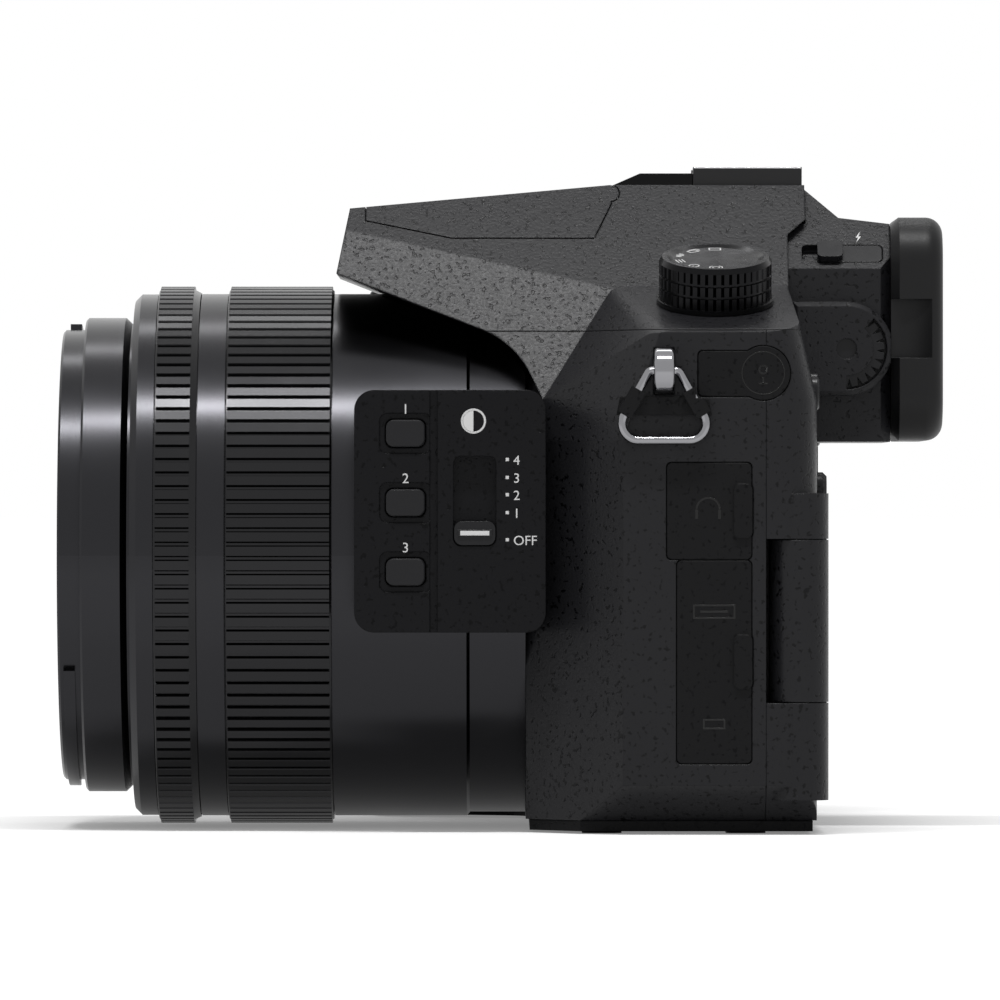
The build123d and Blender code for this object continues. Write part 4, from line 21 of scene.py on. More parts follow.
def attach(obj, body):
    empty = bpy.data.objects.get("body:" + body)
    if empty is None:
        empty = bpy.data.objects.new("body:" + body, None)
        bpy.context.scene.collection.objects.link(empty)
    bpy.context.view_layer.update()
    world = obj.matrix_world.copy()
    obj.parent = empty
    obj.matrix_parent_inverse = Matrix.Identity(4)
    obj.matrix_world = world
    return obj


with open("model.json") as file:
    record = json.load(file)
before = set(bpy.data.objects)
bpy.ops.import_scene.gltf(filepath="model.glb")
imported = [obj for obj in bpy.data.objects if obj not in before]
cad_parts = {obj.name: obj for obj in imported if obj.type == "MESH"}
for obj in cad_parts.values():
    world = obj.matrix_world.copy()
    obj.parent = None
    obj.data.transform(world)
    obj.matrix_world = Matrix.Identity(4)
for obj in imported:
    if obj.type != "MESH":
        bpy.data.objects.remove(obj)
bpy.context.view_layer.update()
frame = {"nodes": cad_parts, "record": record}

LOG = logging.getLogger("camera")
MM = 0.001
INK_HEIGHT_MM = 0.03
BURIED_MM = 0.02
LAY_FROM_MM = 12.0
MERGE_M = 1e-7
CIRCLE_STEPS = 48
SMALL_STEPS = 24
FONT_STEPS = 4
EDGE_SAMPLES = 4
BEVEL_STEPS = 2
BEVEL_ROUND = 0.5
# Height of a capital letter as a share of the font's size
CAPITAL_SHARE = 0.73
WHITE = (1.0, 1.0, 1.0, 1.0)
# The mix node has several sockets of each name, so those for colours go by number
MIX_BY = 0
MIX_A = 6
MIX_B = 7
MIX_RESULT = 2
# A face belongs to a dial's top when it looks this squarely along the dial's axis
TOP_FACE_DOT = 0.999
# The standard curve between sRGB and linear light
SRGB_KNEE = 0.04045
SRGB_SLOPE = 12.92
SRGB_OFFSET = 0.055
SRGB_POWER = 2.4
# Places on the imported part, in millimetres, and the lean of its left deck in degrees
DECK_TILT = 15.5
DRIVE_TOP = (37.04, 5.65, 86.63)
MODE_TOP = (-41.0, 4.0, 90.35)
HOOD_LOW = (-8.1, -9.9, 98.42)
HOOD_HIGH = (8.1, 2.75, 100.4)
JACKS_LOW = (43.0, -8.0, 8.0)
JACKS_HIGH = (60.0, 22.0, 82.0)

Point = Sequence[float]
Links = dict[Union[str, int], object]


def linear(colour: str) -> tuple[float, float, float, float]:
    """Turns an sRGB hex colour to linear light.

    Args:
        colour: Six hex digits after a number sign.

    Returns:
        Red, green, blue and an alpha of one.
    """
    parts = [int(colour[index : index + 2], 16) / 255 for index in (1, 3, 5)]
    red, green, blue = (
        part / SRGB_SLOPE if part <= SRGB_KNEE else ((part + SRGB_OFFSET) / (1 + SRGB_OFFSET)) ** SRGB_POWER
        for part in parts
    )
    return red, green, blue, 1.0


def per_metre(size_mm: float) -> float:
    """Texture scale at which one cell of a pattern is this many millimetres."""
    return 1 / (size_mm * MM)


def add_node(
    tree: bpy.types.NodeTree, kind: str, inputs: Links | None = None, **settings: object
) -> bpy.types.Node:
    """Adds one shader node.

    Args:
        tree: The material's node tree.
        kind: Class name of the node.
        inputs: Value or source socket for each named or numbered input.
        **settings: Properties of the node.

    Returns:
        The new node.
    """
    node = tree.nodes.new(kind)
    for name, value in settings.items():
        setattr(node, name, value)
    for key, value in (inputs or {}).items():
        if isinstance(value, bpy.types.NodeSocket):
            tree.links.new(value, node.inputs[key])
        else:
            node.inputs[key].default_value = value
    return node


def empty_material(name: str) -> tuple[bpy.types.Material, bpy.types.NodeTree]:
    """Makes a material with no nodes yet.

    Args:
        name: Name of the finish.

    Returns:
        The material and its tree.
    """
    material = bpy.data.materials.new(name)
    material.use_nodes = True
    material.node_tree.nodes.clear()
    return material, material.node_tree


def surface(tree: bpy.types.NodeTree, inputs: Links) -> None:
    """Adds the surface shader and the output.

    Args:
        tree: The material's node tree.
        inputs: Values or sockets of the surface shader.
    """
    shader = add_node(tree, "ShaderNodeBsdfPrincipled", inputs)
    add_node(tree, "ShaderNodeOutputMaterial", {"Surface": shader.outputs[0]})


@dataclass(frozen=True)
class MouldedPlastic:
    """Polycarbonate moulded in a spark-eroded tool: satin, with a fine grain and shallow pits painted darker
    as shade.
    """

    name: str
    colour: str = "#1b1b1d"
    # The pits' darker colour is painted shade
    pit_shade_colour: str = "#030304"
    roughness: float = 0.34
    roughness_spread: float = 0.12
    grain_mm: float = 0.45
    grain_detail: float = 2.0
    pit_mm: float = 0.8
    pit_detail: float = 1.5
    grain_depth_mm: float = 0.035
    pit_share: float = 0.37
    pit_fade_low: float = 0.05
    pit_fade_high: float = 0.03
    specular: float = 0.12
    ior: float = 1.58
    edge_mm: float = 0.3

    def build(self) -> bpy.types.Material:
        """Builds the material.

        Returns:
            The new material.
        """
        material, tree = empty_material(self.name)
        place = add_node(tree, "ShaderNodeTexCoord").outputs["Object"]
        grain = add_node(
            tree,
            "ShaderNodeTexNoise",
            {"Vector": place, "Scale": per_metre(self.grain_mm), "Detail": self.grain_detail},
        )
        cells = add_node(
            tree,
            "ShaderNodeTexNoise",
            {"Vector": place, "Scale": per_metre(self.pit_mm), "Detail": self.pit_detail},
        )
        # The pits are the low places of a coarser grain, and their darker colour is painted shade
        pits = add_node(
            tree,
            "ShaderNodeMapRange",
            {
                "Value": cells.outputs[0],
                "From Min": self.pit_share - self.pit_fade_low,
                "From Max": self.pit_share + self.pit_fade_high,
                "To Min": 0.0,
                "To Max": 1.0,
            },
        )
        mix = add_node(
            tree,
            "ShaderNodeMix",
            {MIX_BY: pits.outputs[0], MIX_A: linear(self.pit_shade_colour), MIX_B: linear(self.colour)},
            data_type="RGBA",
        )
        height = add_node(
            tree, "ShaderNodeMath", {0: grain.outputs[0], 1: pits.outputs[0]}, operation="ADD"
        )
        # A mould leaves every edge slightly round, so it catches the light
        edge = add_node(tree, "ShaderNodeBevel", {"Radius": self.edge_mm * MM}, samples=EDGE_SAMPLES)
        bump = add_node(
            tree,
            "ShaderNodeBump",
            {
                "Height": height.outputs[0],
                "Distance": self.grain_depth_mm * MM,
                "Strength": 1.0,
                "Normal": edge.outputs[0],
            },
        )
        rough = add_node(
            tree,
            "ShaderNodeMapRange",
            {
                "Value": grain.outputs[0],
                "To Min": self.roughness - self.roughness_spread,
                "To Max": self.roughness + self.roughness_spread,
            },
        )
        surface(
            tree,
            {
                "Base Color": mix.outputs[MIX_RESULT],
                "Roughness": rough.outputs[0],
                "IOR": self.ior,
                "Specular IOR Level": self.specular,
                "Normal": bump.outputs[0],
            },
        )
        return material


@dataclass(frozen=True)
class AnodisedMetal:
    """Aluminium turned on a lathe, blasted and dyed black: a satin sheen with faint lines round the axis."""

    name: str
    colour: str = "#2e2e30"
    roughness: float = 0.24
    roughness_spread: float = 0.05
    line_mm: float = 0.25
    line_detail: float = 2.0
    line_depth_mm: float = 0.004
    round_share: float = 0.02
    cloud_mm: float = 14.0
    cloud_detail: float = 3.0

    def build(self) -> bpy.types.Material:
        """Builds the material.

        Returns:
            The new material.
        """
        material, tree = empty_material(self.name)
        place = add_node(tree, "ShaderNodeTexCoord").outputs["Object"]
        # Tool marks run round the lens, so the pattern is short along the axis and long across it
        squeeze = (self.round_share, 1.0, self.round_share)
        stretched = add_node(tree, "ShaderNodeMapping", {"Vector": place, "Scale": squeeze})
        lines = add_node(
            tree,
            "ShaderNodeTexNoise",
            {
                "Vector": stretched.outputs[0],
                "Scale": per_metre(self.line_mm),
                "Detail": self.line_detail,
            },
        )
        cloud = add_node(
            tree,
            "ShaderNodeTexNoise",
            {"Vector": place, "Scale": per_metre(self.cloud_mm), "Detail": self.cloud_detail},
        )
        bump = add_node(
            tree, "ShaderNodeBump", {"Height": lines.outputs[0], "Distance": self.line_depth_mm * MM}
        )
        rough = add_node(
            tree,
            "ShaderNodeMapRange",
            {
                "Value": cloud.outputs[0],
                "To Min": self.roughness - self.roughness_spread,
                "To Max": self.roughness + self.roughness_spread,
            },
        )
        surface(
            tree,
            {
                "Base Color": linear(self.colour),
                "Metallic": 1.0,
                "Roughness": rough.outputs[0],
                "Normal": bump.outputs[0],
            },
        )
        return material


@dataclass(frozen=True)
class LeatherRubber:
    """Rubber moulded with a leather grain: matt, with closed cells and soft creases painted darker as shade.
    """

    name: str
    colour: str = "#0f0f10"
    # The creases' darker colour is painted shade
    crease_shade_colour: str = "#060606"
    roughness: float = 0.72
    cell_mm: float = 1.5
    depth_mm: float = 0.09
    sheen: float = 0.05
    specular: float = 0.18
    warp_mm: float = 3.0
    warp_detail: float = 2.0
    warp_reach_m: float = 0.0011
    crease_share: float = 0.16

    def build(self) -> bpy.types.Material:
        """Builds the material.

        Returns:
            The new material.
        """
        material, tree = empty_material(self.name)
        place = add_node(tree, "ShaderNodeTexCoord").outputs["Object"]
        # Creases in real leather bend, so the straight edges of the pattern are warped a little
        warp = add_node(
            tree,
            "ShaderNodeTexNoise",
            {"Vector": place, "Scale": per_metre(self.warp_mm), "Detail": self.warp_detail},
        )
        bent = add_node(
            tree,
            "ShaderNodeVectorMath",
            {0: warp.outputs["Color"], "Scale": self.warp_reach_m},
            operation="SCALE",
        )
        moved = add_node(tree, "ShaderNodeVectorMath", {0: place, 1: bent.outputs[0]}, operation="ADD")
        cells = add_node(
            tree,
            "ShaderNodeTexVoronoi",
            {"Vector": moved.outputs[0], "Scale": per_metre(self.cell_mm)},
            feature="DISTANCE_TO_EDGE",
        )
        crease = add_node(
            tree,
            "ShaderNodeMapRange",
            {"Value": cells.outputs[0], "From Min": 0.0, "From Max": self.crease_share},
        )
        # The creases are painted darker, as shade in them
        mix = add_node(
            tree,
            "ShaderNodeMix",
            {MIX_BY: crease.outputs[0], MIX_A: linear(self.crease_shade_colour), MIX_B: linear(self.colour)},
            data_type="RGBA",
        )
        bump = add_node(
            tree, "ShaderNodeBump", {"Height": crease.outputs[0], "Distance": self.depth_mm * MM}
        )
        surface(
            tree,
            {
                "Base Color": mix.outputs[MIX_RESULT],
                "Roughness": self.roughness,
                "Specular IOR Level": self.specular,
                "Sheen Weight": self.sheen,
                "Normal": bump.outputs[0],
            },
        )
        return material


@dataclass(frozen=True)
class SmoothFinish:
    """A smooth moulded or polished surface with a slight waviness and a little dust in its sheen."""

    name: str
    colour: str
    roughness: float = 0.3
    metallic: float = 0.0
    specular: float = 0.5
    wave_mm: float = 2.5
    wave_detail: float = 4.0
    wave_depth_mm: float = 0.004
    edge_mm: float = 0.15
    smooth_share: float = 0.85
    rough_share: float = 1.2

    def build(self) -> bpy.types.Material:
        """Builds the material.

        Returns:
            The new material.
        """
        material, tree = empty_material(self.name)
        place = add_node(tree, "ShaderNodeTexCoord").outputs["Object"]
        wave = add_node(
            tree,
            "ShaderNodeTexNoise",
            {"Vector": place, "Scale": per_metre(self.wave_mm), "Detail": self.wave_detail},
        )
        edge = add_node(tree, "ShaderNodeBevel", {"Radius": self.edge_mm * MM}, samples=EDGE_SAMPLES)
        bump = add_node(
            tree,
            "ShaderNodeBump",
            {"Height": wave.outputs[0], "Distance": self.wave_depth_mm * MM, "Normal": edge.outputs[0]},
        )
        rough = add_node(
            tree,
            "ShaderNodeMapRange",
            {
                "Value": wave.outputs[0],
                "To Min": self.roughness * self.smooth_share,
                "To Max": self.roughness * self.rough_share,
            },
        )
        surface(
            tree,
            {
                "Base Color": linear(self.colour),
                "Metallic": self.metallic,
                "Roughness": rough.outputs[0],
                "Specular IOR Level": self.specular,
                "Normal": bump.outputs[0],
            },
        )
        return material


@dataclass(frozen=True)
class SpunTop:
    """Face of a dial turned on a lathe: fine rings about its middle spread each highlight into a fan."""

    name: str
    centre_mm: Point
    tilt_deg: float = 0.0
    colour: str = "#242426"
    roughness: float = 0.24
    ring_mm: float = 0.16
    ring_depth_mm: float = 0.012

    def build(self) -> bpy.types.Material:
        """Builds the material.

        Returns:
            The new material.
        """
        material, tree = empty_material(self.name)
        place = add_node(tree, "ShaderNodeTexCoord").outputs["Object"]
        local = add_node(
            tree,
            "ShaderNodeMapping",
            {
                "Vector": place,
                "Location": [value * MM for value in self.centre_mm],
                "Rotation": (0.0, math.radians(self.tilt_deg), 0.0),
            },
            vector_type="TEXTURE",
        )
        # The rings depend on the distance from the dial's axis alone, so the height is dropped
        flat = add_node(
            tree, "ShaderNodeVectorMath", {0: local.outputs[0], 1: (1.0, 1.0, 0.0)}, operation="MULTIPLY"
        )
        reach = add_node(tree, "ShaderNodeVectorMath", {0: flat.outputs[0]}, operation="LENGTH")
        turns = add_node(
            tree,
            "ShaderNodeMath",
            {0: reach.outputs["Value"], 1: math.tau * per_metre(self.ring_mm)},
            operation="MULTIPLY",
        )
        rings = add_node(tree, "ShaderNodeMath", {0: turns.outputs[0]}, operation="SINE")
        bump = add_node(
            tree, "ShaderNodeBump", {"Height": rings.outputs[0], "Distance": self.ring_depth_mm * MM}
        )
        surface(
            tree,
            {
                "Base Color": linear(self.colour),
                "Metallic": 1.0,
                "Roughness": self.roughness,
                "Normal": bump.outputs[0],
            },
        )
        return material


@dataclass(frozen=True)
class CoatedGlass:
    """Optical glass with an anti-reflection coat: clear, with a weak and faintly green gloss."""

    name: str
    tint: str = "#e3ebe7"
    deep_tint: str = "#eae5ef"
    gloss_tint: str = "#a9c7b4"
    roughness: float = 0.01
    film_mm: float = 60.0
    # Bare glass mirrors about 4 percent of the room at each face, and this leaves half a percent
    coated_ior: float = 1.15

    def build(self) -> bpy.types.Material:
        """Builds the material.

        Returns:
            The new material.
        """
        material, tree = empty_material(self.name)
        place = add_node(tree, "ShaderNodeTexCoord").outputs["Object"]
        film = add_node(tree, "ShaderNodeTexNoise", {"Vector": place, "Scale": per_metre(self.film_mm)})
        mix = add_node(
            tree,
            "ShaderNodeMix",
            {MIX_BY: film.outputs[0], MIX_A: linear(self.tint), MIX_B: linear(self.deep_tint)},
            data_type="RGBA",
        )
        surface(
            tree,
            {
                "Base Color": mix.outputs[MIX_RESULT],
                "Roughness": self.roughness,
                "IOR": self.coated_ior,
                "Specular Tint": linear(self.gloss_tint),
                "Transmission Weight": 1.0,
            },
        )
        return material


class Facing(Enum):
    """Which way a printed or engraved mark faces, as its local X and Y axes."""

    LEFT = ((0, 1, 0), (0, 0, 1))
    BACK = ((-1, 0, 0), (0, 0, 1))
    TOP = ((-1, 0, 0), (0, -1, 0))
    BASE = ((1, 0, 0), (0, -1, 0))
    FRONT = ((1, 0, 0), (0, 0, 1))


def placed(origin_mm: Point, facing: Facing) -> Matrix:
    """Frame of a mark.

    Args:
        origin_mm: Where its middle lies.
        facing: Which way it looks.

    Returns:
        A matrix whose Z axis points out of the surface.
    """
    across, upward = (Vector(axis) for axis in facing.value)
    outward = across.cross(upward)
    matrix = Matrix((across, upward, outward)).transposed().to_4x4()
    matrix.translation = Vector(origin_mm) * MM
    return matrix


def leaning(origin_mm: Point, tilt_deg: float) -> Matrix:
    """Frame of a mark on a top that leans towards the left, with its Y axis pointing back.

    Args:
        origin_mm: Where its middle lies.
        tilt_deg: How far the top leans.

    Returns:
        A matrix whose Z axis points out of the top.
    """
    matrix = Matrix.Rotation(math.radians(tilt_deg), 4, "Y")
    matrix.translation = Vector(origin_mm) * MM
    return matrix


def lathed(profile_mm: Sequence[Point], place: Matrix, steps: int = CIRCLE_STEPS) -> bmesh.types.BMesh:
    """Turns a closed outline about the Z axis of a place.

    Args:
        profile_mm: Corners as radius and height.
        place: Where the turned form stands.
        steps: Corners of the round.

    Returns:
        The mesh, in metres.
    """
    mesh = bmesh.new()
    loops = []
    for index in range(steps):
        angle = math.tau * index / steps
        loops.append([
            mesh.verts.new(place @ Vector((r * math.cos(angle) * MM, r * math.sin(angle) * MM, z * MM)))
            for r, z in profile_mm
        ])
    for index, loop in enumerate(loops):
        after = loops[(index + 1) % steps]
        for corner in range(len(profile_mm)):
            follow = (corner + 1) % len(profile_mm)
            mesh.faces.new((loop[corner], after[corner], after[follow], loop[follow]))
    bmesh.ops.remove_doubles(mesh, verts=mesh.verts, dist=MERGE_M)
    return mesh


def joined(meshes: Iterable[bmesh.types.BMesh]) -> bmesh.types.BMesh:
    """Puts several meshes into one and frees them.

    Args:
        meshes: The meshes.

    Returns:
        One mesh of all.
    """
    whole = bmesh.new()
    for mesh in meshes:
        data = bpy.data.meshes.new("part")
        mesh.to_mesh(data)
        mesh.free()
        whole.from_mesh(data)
        bpy.data.meshes.remove(data)
    return whole


def plate(low: Point, high: Point, bevel_mm: float) -> bmesh.types.BMesh:
    """Makes a plate with bevelled edges.

    Args:
        low: Its lowest corner, in millimetres.
        high: Its highest corner, in millimetres.
        bevel_mm: Width of its bevels.

    Returns:
        The mesh, in metres.
    """
    mesh = bmesh.new()
    size = [(b - a) * MM for a, b in zip(low, high)]
    middle = [(a + b) / 2 * MM for a, b in zip(low, high)]
    shape = Matrix.Translation(middle) @ Matrix.Diagonal((*size, 1.0))
    bmesh.ops.create_cube(mesh, size=1.0, matrix=shape)
    bmesh.ops.bevel(
        mesh,
        geom=mesh.edges[:],
        offset=bevel_mm * MM,
        segments=BEVEL_STEPS,
        profile=BEVEL_ROUND,
        affect="EDGES",
    )
    return mesh


def finished(mesh: bmesh.types.BMesh, name: str, material: bpy.types.Material, body: str) -> None:
    """Makes an object of a mesh, gives it its finish and lets it ride.

    Args:
        mesh: The mesh, in metres. It is freed.
        name: Name of the piece.
        material: Its finish.
        body: The body that it moves with.
    """
    bmesh.ops.recalc_face_normals(mesh, faces=mesh.faces)
    data = bpy.data.meshes.new(name)
    mesh.to_mesh(data)
    mesh.free()
    piece = bpy.data.objects.new(name, data)
    piece.data.materials.append(material)
    bpy.context.scene.collection.objects.link(piece)
    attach(piece, body)
    LOG.info("piece %s rides on %s", name, body)


@dataclass
class Marks:
    """Thin closed shapes that share one plane, such as numbers, ticks and simple signs."""

    place: Matrix
    height_mm: float = INK_HEIGHT_MM
    mesh: bmesh.types.BMesh = field(default_factory=bmesh.new)

    def prism(self, outline: Iterable[Point]) -> None:
        """Adds a flat shape.

        Args:
            outline: Corners in millimetres.
        """
        corners = [Vector((x * MM, y * MM, 0)) for x, y in outline]
        rise = Vector((0, 0, self.height_mm * MM))
        low = [self.mesh.verts.new(self.place @ corner) for corner in corners]
        high = [self.mesh.verts.new(self.place @ (corner + rise)) for corner in corners]
        self.mesh.faces.new(reversed(low))
        self.mesh.faces.new(high)
        for index in range(len(corners)):
            after = (index + 1) % len(corners)
            self.mesh.faces.new((low[index], low[after], high[after], high[index]))

    def bar(self, x: float, y: float, width: float, height: float) -> None:
        """Adds a rectangle.

        Args:
            x: Middle across.
            y: Middle up.
            width: Its width.
            height: Its height.
        """
        left, right = x - width / 2, x + width / 2
        low, high = y - height / 2, y + height / 2
        self.prism([(left, low), (right, low), (right, high), (left, high)])

    def frame(self, x: float, y: float, width: float, height: float, line: float) -> None:
        """Adds the outline of a rectangle as four bars.

        Args:
            x: Middle across.
            y: Middle up.
            width: Its outer width.
            height: Its outer height.
            line: Width of the line.
        """
        for side in (1, -1):
            self.bar(x, y + side * (height - line) / 2, width, line)
            self.bar(x + side * (width - line) / 2, y, line, height - 2 * line)

    def ring(
        self, x: float, y: float, radius: float, line: float, start: float = 0.0, sweep: float = 360.0
    ) -> None:
        """Adds a ring or an arc.

        Args:
            x: Middle across.
            y: Middle up.
            radius: Outer radius.
            line: Width of the line.
            start: Where the arc starts, in degrees.
            sweep: How far it goes.
        """
        steps = round(CIRCLE_STEPS * sweep / 360)
        for index in range(steps):
            first = math.radians(start + sweep * index / steps)
            last = math.radians(start + sweep * (index + 1) / steps)
            ends = ((radius, first), (radius, last), (radius - line, last), (radius - line, first))
            self.prism([(x + reach * math.cos(angle), y + reach * math.sin(angle)) for reach, angle in ends])

    def segment(self, x: float, y: float, radius: float, start: float, sweep: float) -> None:
        """Adds the part of a disc between an arc and its chord.

        Args:
            x: Middle across.
            y: Middle up.
            radius: Its radius.
            start: Where the arc starts, in degrees.
            sweep: How far it goes.
        """
        steps = round(CIRCLE_STEPS * sweep / 360)
        angles = [math.radians(start + sweep * index / steps) for index in range(steps + 1)]
        self.prism([(x + radius * math.cos(angle), y + radius * math.sin(angle)) for angle in angles])

    def text(
        self, words: str, x: float, y: float, height: float, turn: float = 0.0, centred: bool = True
    ) -> None:
        """Adds plain numbers or a plain word.

        Args:
            words: What it says.
            x: Its middle, or its left end.
            y: Its foot.
            height: Height of a capital.
            turn: Angle that it is turned by about the plane's middle.
            centred: Whether x is its middle.
        """
        curve = bpy.data.curves.new("words", "FONT")
        curve.body = words
        curve.size = height * MM / CAPITAL_SHARE
        curve.align_x = "CENTER" if centred else "LEFT"
        curve.extrude = self.height_mm * MM / 2
        curve.resolution_u = FONT_STEPS
        holder = bpy.data.objects.new("words", curve)
        bpy.context.scene.collection.objects.link(holder)
        bpy.context.view_layer.update()
        data = bpy.data.meshes.new_from_object(holder)
        spin = Matrix.Rotation(math.radians(turn), 4, "Z")
        data.transform(self.place @ spin @ Matrix.Translation((x * MM, y * MM, self.height_mm * MM / 2)))
        self.mesh.from_mesh(data)
        bpy.data.objects.remove(holder)
        bpy.data.curves.remove(curve)
        bpy.data.meshes.remove(data)

    def make(self, name: str, material: bpy.types.Material, body: str) -> None:
        """Makes the piece."""
        finished(self.mesh, name, material, body)

    def lay(self, node: str) -> None:
        """Lays the shapes onto the skin of a node, straight along the plane's own Z axis.

        Args:
            node: The node whose surface carries them.
        """
        surface_tree = BVHTree.FromObject(frame["nodes"][node], bpy.context.evaluated_depsgraph_get())
        outward = (self.place.to_3x3() @ Vector((0, 0, 1))).normalized()
        back = self.place.inverted()
        for vertex in self.mesh.verts:
            lift = (back @ vertex.co).z
            start = vertex.co + outward * (LAY_FROM_MM * MM - lift)
            hit = surface_tree.ray_cast(start, -outward)[0]
            if hit is not None:
                stand = lift if lift > 0 else -BURIED_MM * MM
                vertex.co = hit + outward * stand


@dataclass(frozen=True)
class Sign:
    """A simple sign. Each shape in it is a row of sizes, in the order that Marks takes them."""

    frames: tuple[Point, ...] = ()
    rings: tuple[Point, ...] = ()
    bars: tuple[Point, ...] = ()

    def draw(self, marks: Marks) -> None:
        """Draws the sign.

        Args:
            marks: Where it is drawn.
        """
        for sizes in self.frames:
            marks.frame(*sizes)
        for sizes in self.rings:
            marks.ring(*sizes)
        for sizes in self.bars:
            marks.bar(*sizes)


class Palette:
    """Every finish of the camera, each built once."""

    def __init__(self) -> None:
        """Builds the materials by the name of the slot or the piece that wears them."""
        self.by_slot = {
            "body_black": MouldedPlastic("moulded_body").build(),
            "base_black": MouldedPlastic(
                "moulded_base", colour="#0d0d0e", roughness=0.5, specular=0.06
            ).build(),
            "grip_rubber": LeatherRubber("leather_grain_rubber").build(),
            "lens_black": AnodisedMetal("anodised_tube").build(),
            "ring_black": AnodisedMetal("anodised_ring", colour="#2b2b2c").build(),
            "panel_black": MouldedPlastic(
                "moulded_panel", colour="#101012", roughness=0.3, specular=0.07
            ).build(),
            "button_black": SmoothFinish("satin_button", "#18181a", roughness=0.26, specular=0.18).build(),
            "dial_black": AnodisedMetal("anodised_dial", colour="#1c1c1d").build(),
            "eyecup_rubber": SmoothFinish(
                "soft_rubber", "#0c0c0d", roughness=0.42, specular=0.2, wave_mm=0.4, wave_depth_mm=0.01
            ).build(),
            "glass_coated": CoatedGlass("coated_glass").build(),
            "screen_glass": SmoothFinish("display_glass", "#050506", roughness=0.06, specular=0.35).build(),
            "flash_clear": SmoothFinish("clear_flash_window", "#d8d8d2", roughness=0.12).build(),
            "shoe_metal": SmoothFinish("painted_shoe", "#141415", roughness=0.34, specular=0.25).build(),
            "lug_chrome": SmoothFinish("polished_steel", "#87878a", roughness=0.12, metallic=1.0).build(),
            "frame_metal": SmoothFinish("die_cast_frame", "#8c8c8e", roughness=0.45, metallic=1.0).build(),
            "rod_steel": SmoothFinish("ground_rod", "#b9b9bb", roughness=0.25, metallic=1.0).build(),
            "board_green": SmoothFinish("circuit_board", "#0c3a22", roughness=0.35).build(),
            "cell_black": SmoothFinish("blackened_cell", "#0b0b0c", roughness=0.5, specular=0.3).build(),
            "battery_grey": SmoothFinish("battery_case", "#232326", roughness=0.45, specular=0.3).build(),
            "door_rubber": MouldedPlastic(
                "soft_door", colour="#131314", roughness=0.42, specular=0.07
            ).build(),
        }
        self.ink = SmoothFinish("white_ink", "#c9c9c9", roughness=0.5, wave_mm=0.3).build()
        # One dark finish for printed borders and outlines, and for painted shade in holes, slots and the
        # flash seam
        self.dark_print_and_shade = SmoothFinish("dark_print_and_painted_shade", "#040404", roughness=0.6, specular=0.2).build()
        self.highlight_metal = SmoothFinish("painted_highlight_metal", "#c4c4c6", roughness=0.25, metallic=1.0).build()
        self.hood = SmoothFinish("glossy_hood", "#040405", roughness=0.12, specular=0.12).build()
        self.sign = SmoothFinish("pressed_sign", "#020202", roughness=0.2, specular=0.3).build()
        self.brass = SmoothFinish("gilt_contact", "#b48a3c", roughness=0.25, metallic=1.0).build()

    def dress(self) -> None:
        """Gives every node of the frame the finish of its slot."""
        slots = {part["node"]: part["material_slot"] for part in frame["record"]["subparts"]}
        for node, piece in frame["nodes"].items():
            piece.data.materials.clear()
            piece.data.materials.append(self.by_slot[slots[node]])
            LOG.info("node %s wears %s", node, slots[node])
        for node, tilt, centre in (("drive_dial", DECK_TILT, DRIVE_TOP), ("mode_dial", 0.0, MODE_TOP)):
            self.face(node, SpunTop(f"spun_{node}", centre, tilt).build(), tilt)
        self.region("top_cover", self.hood, HOOD_LOW, HOOD_HIGH)
        # The sockets behind the doors are black mouldings, and only the board itself is green
        self.region("main_board", self.by_slot["cell_black"], JACKS_LOW, JACKS_HIGH)

    def region(self, node: str, material: bpy.types.Material, low_mm: Point, high_mm: Point) -> None:
        """Gives the faces of a node inside a box a finish of their own.

        Args:
            node: The node.
            material: What these faces wear.
            low_mm: The box's lowest corner.
            high_mm: The box's highest corner.
        """
        mesh = frame["nodes"][node].data
        mesh.materials.append(material)
        slot = len(mesh.materials) - 1
        for polygon in mesh.polygons:
            limits = zip(low_mm, polygon.center, high_mm)
            if all(low * MM <= value <= high * MM for low, value, high in limits):
                polygon.material_index = slot

    def face(self, node: str, material: bpy.types.Material, tilt: float) -> None:
        """Gives a dial's flat faces a finish of their own.

        Args:
            node: The dial.
            material: What its top wears.
            tilt: How far the dial leans towards the left, in degrees.
        """
        mesh = frame["nodes"][node].data
        mesh.materials.append(material)
        square = Vector((math.sin(math.radians(tilt)), 0, math.cos(math.radians(tilt))))
        for polygon in mesh.polygons:
            if polygon.normal.dot(square) > TOP_FACE_DOT:
                polygon.material_index = 1


@dataclass(frozen=True)
class Thread:
    """Ridges of an inner thread, drawn as closed rings because its lead is too fine to see."""

    radius: float
    crest: float
    start: float
    pitch: float
    turns: int
    half: float
    steps: int = CIRCLE_STEPS

    def mesh(self, place: Matrix) -> bmesh.types.BMesh:
        """Turns the ridges about the Z axis of a place.

        Args:
            place: Frame at the thread's mouth.

        Returns:
            The mesh, in metres.
        """
        ridges = []
        for index in range(self.turns):
            low = self.start + self.pitch * index
            profile = [(self.radius, low), (self.crest, low + self.half), (self.radius, low + 2 * self.half)]
            ridges.append(lathed(profile, place, self.steps))
        return joined(ridges)


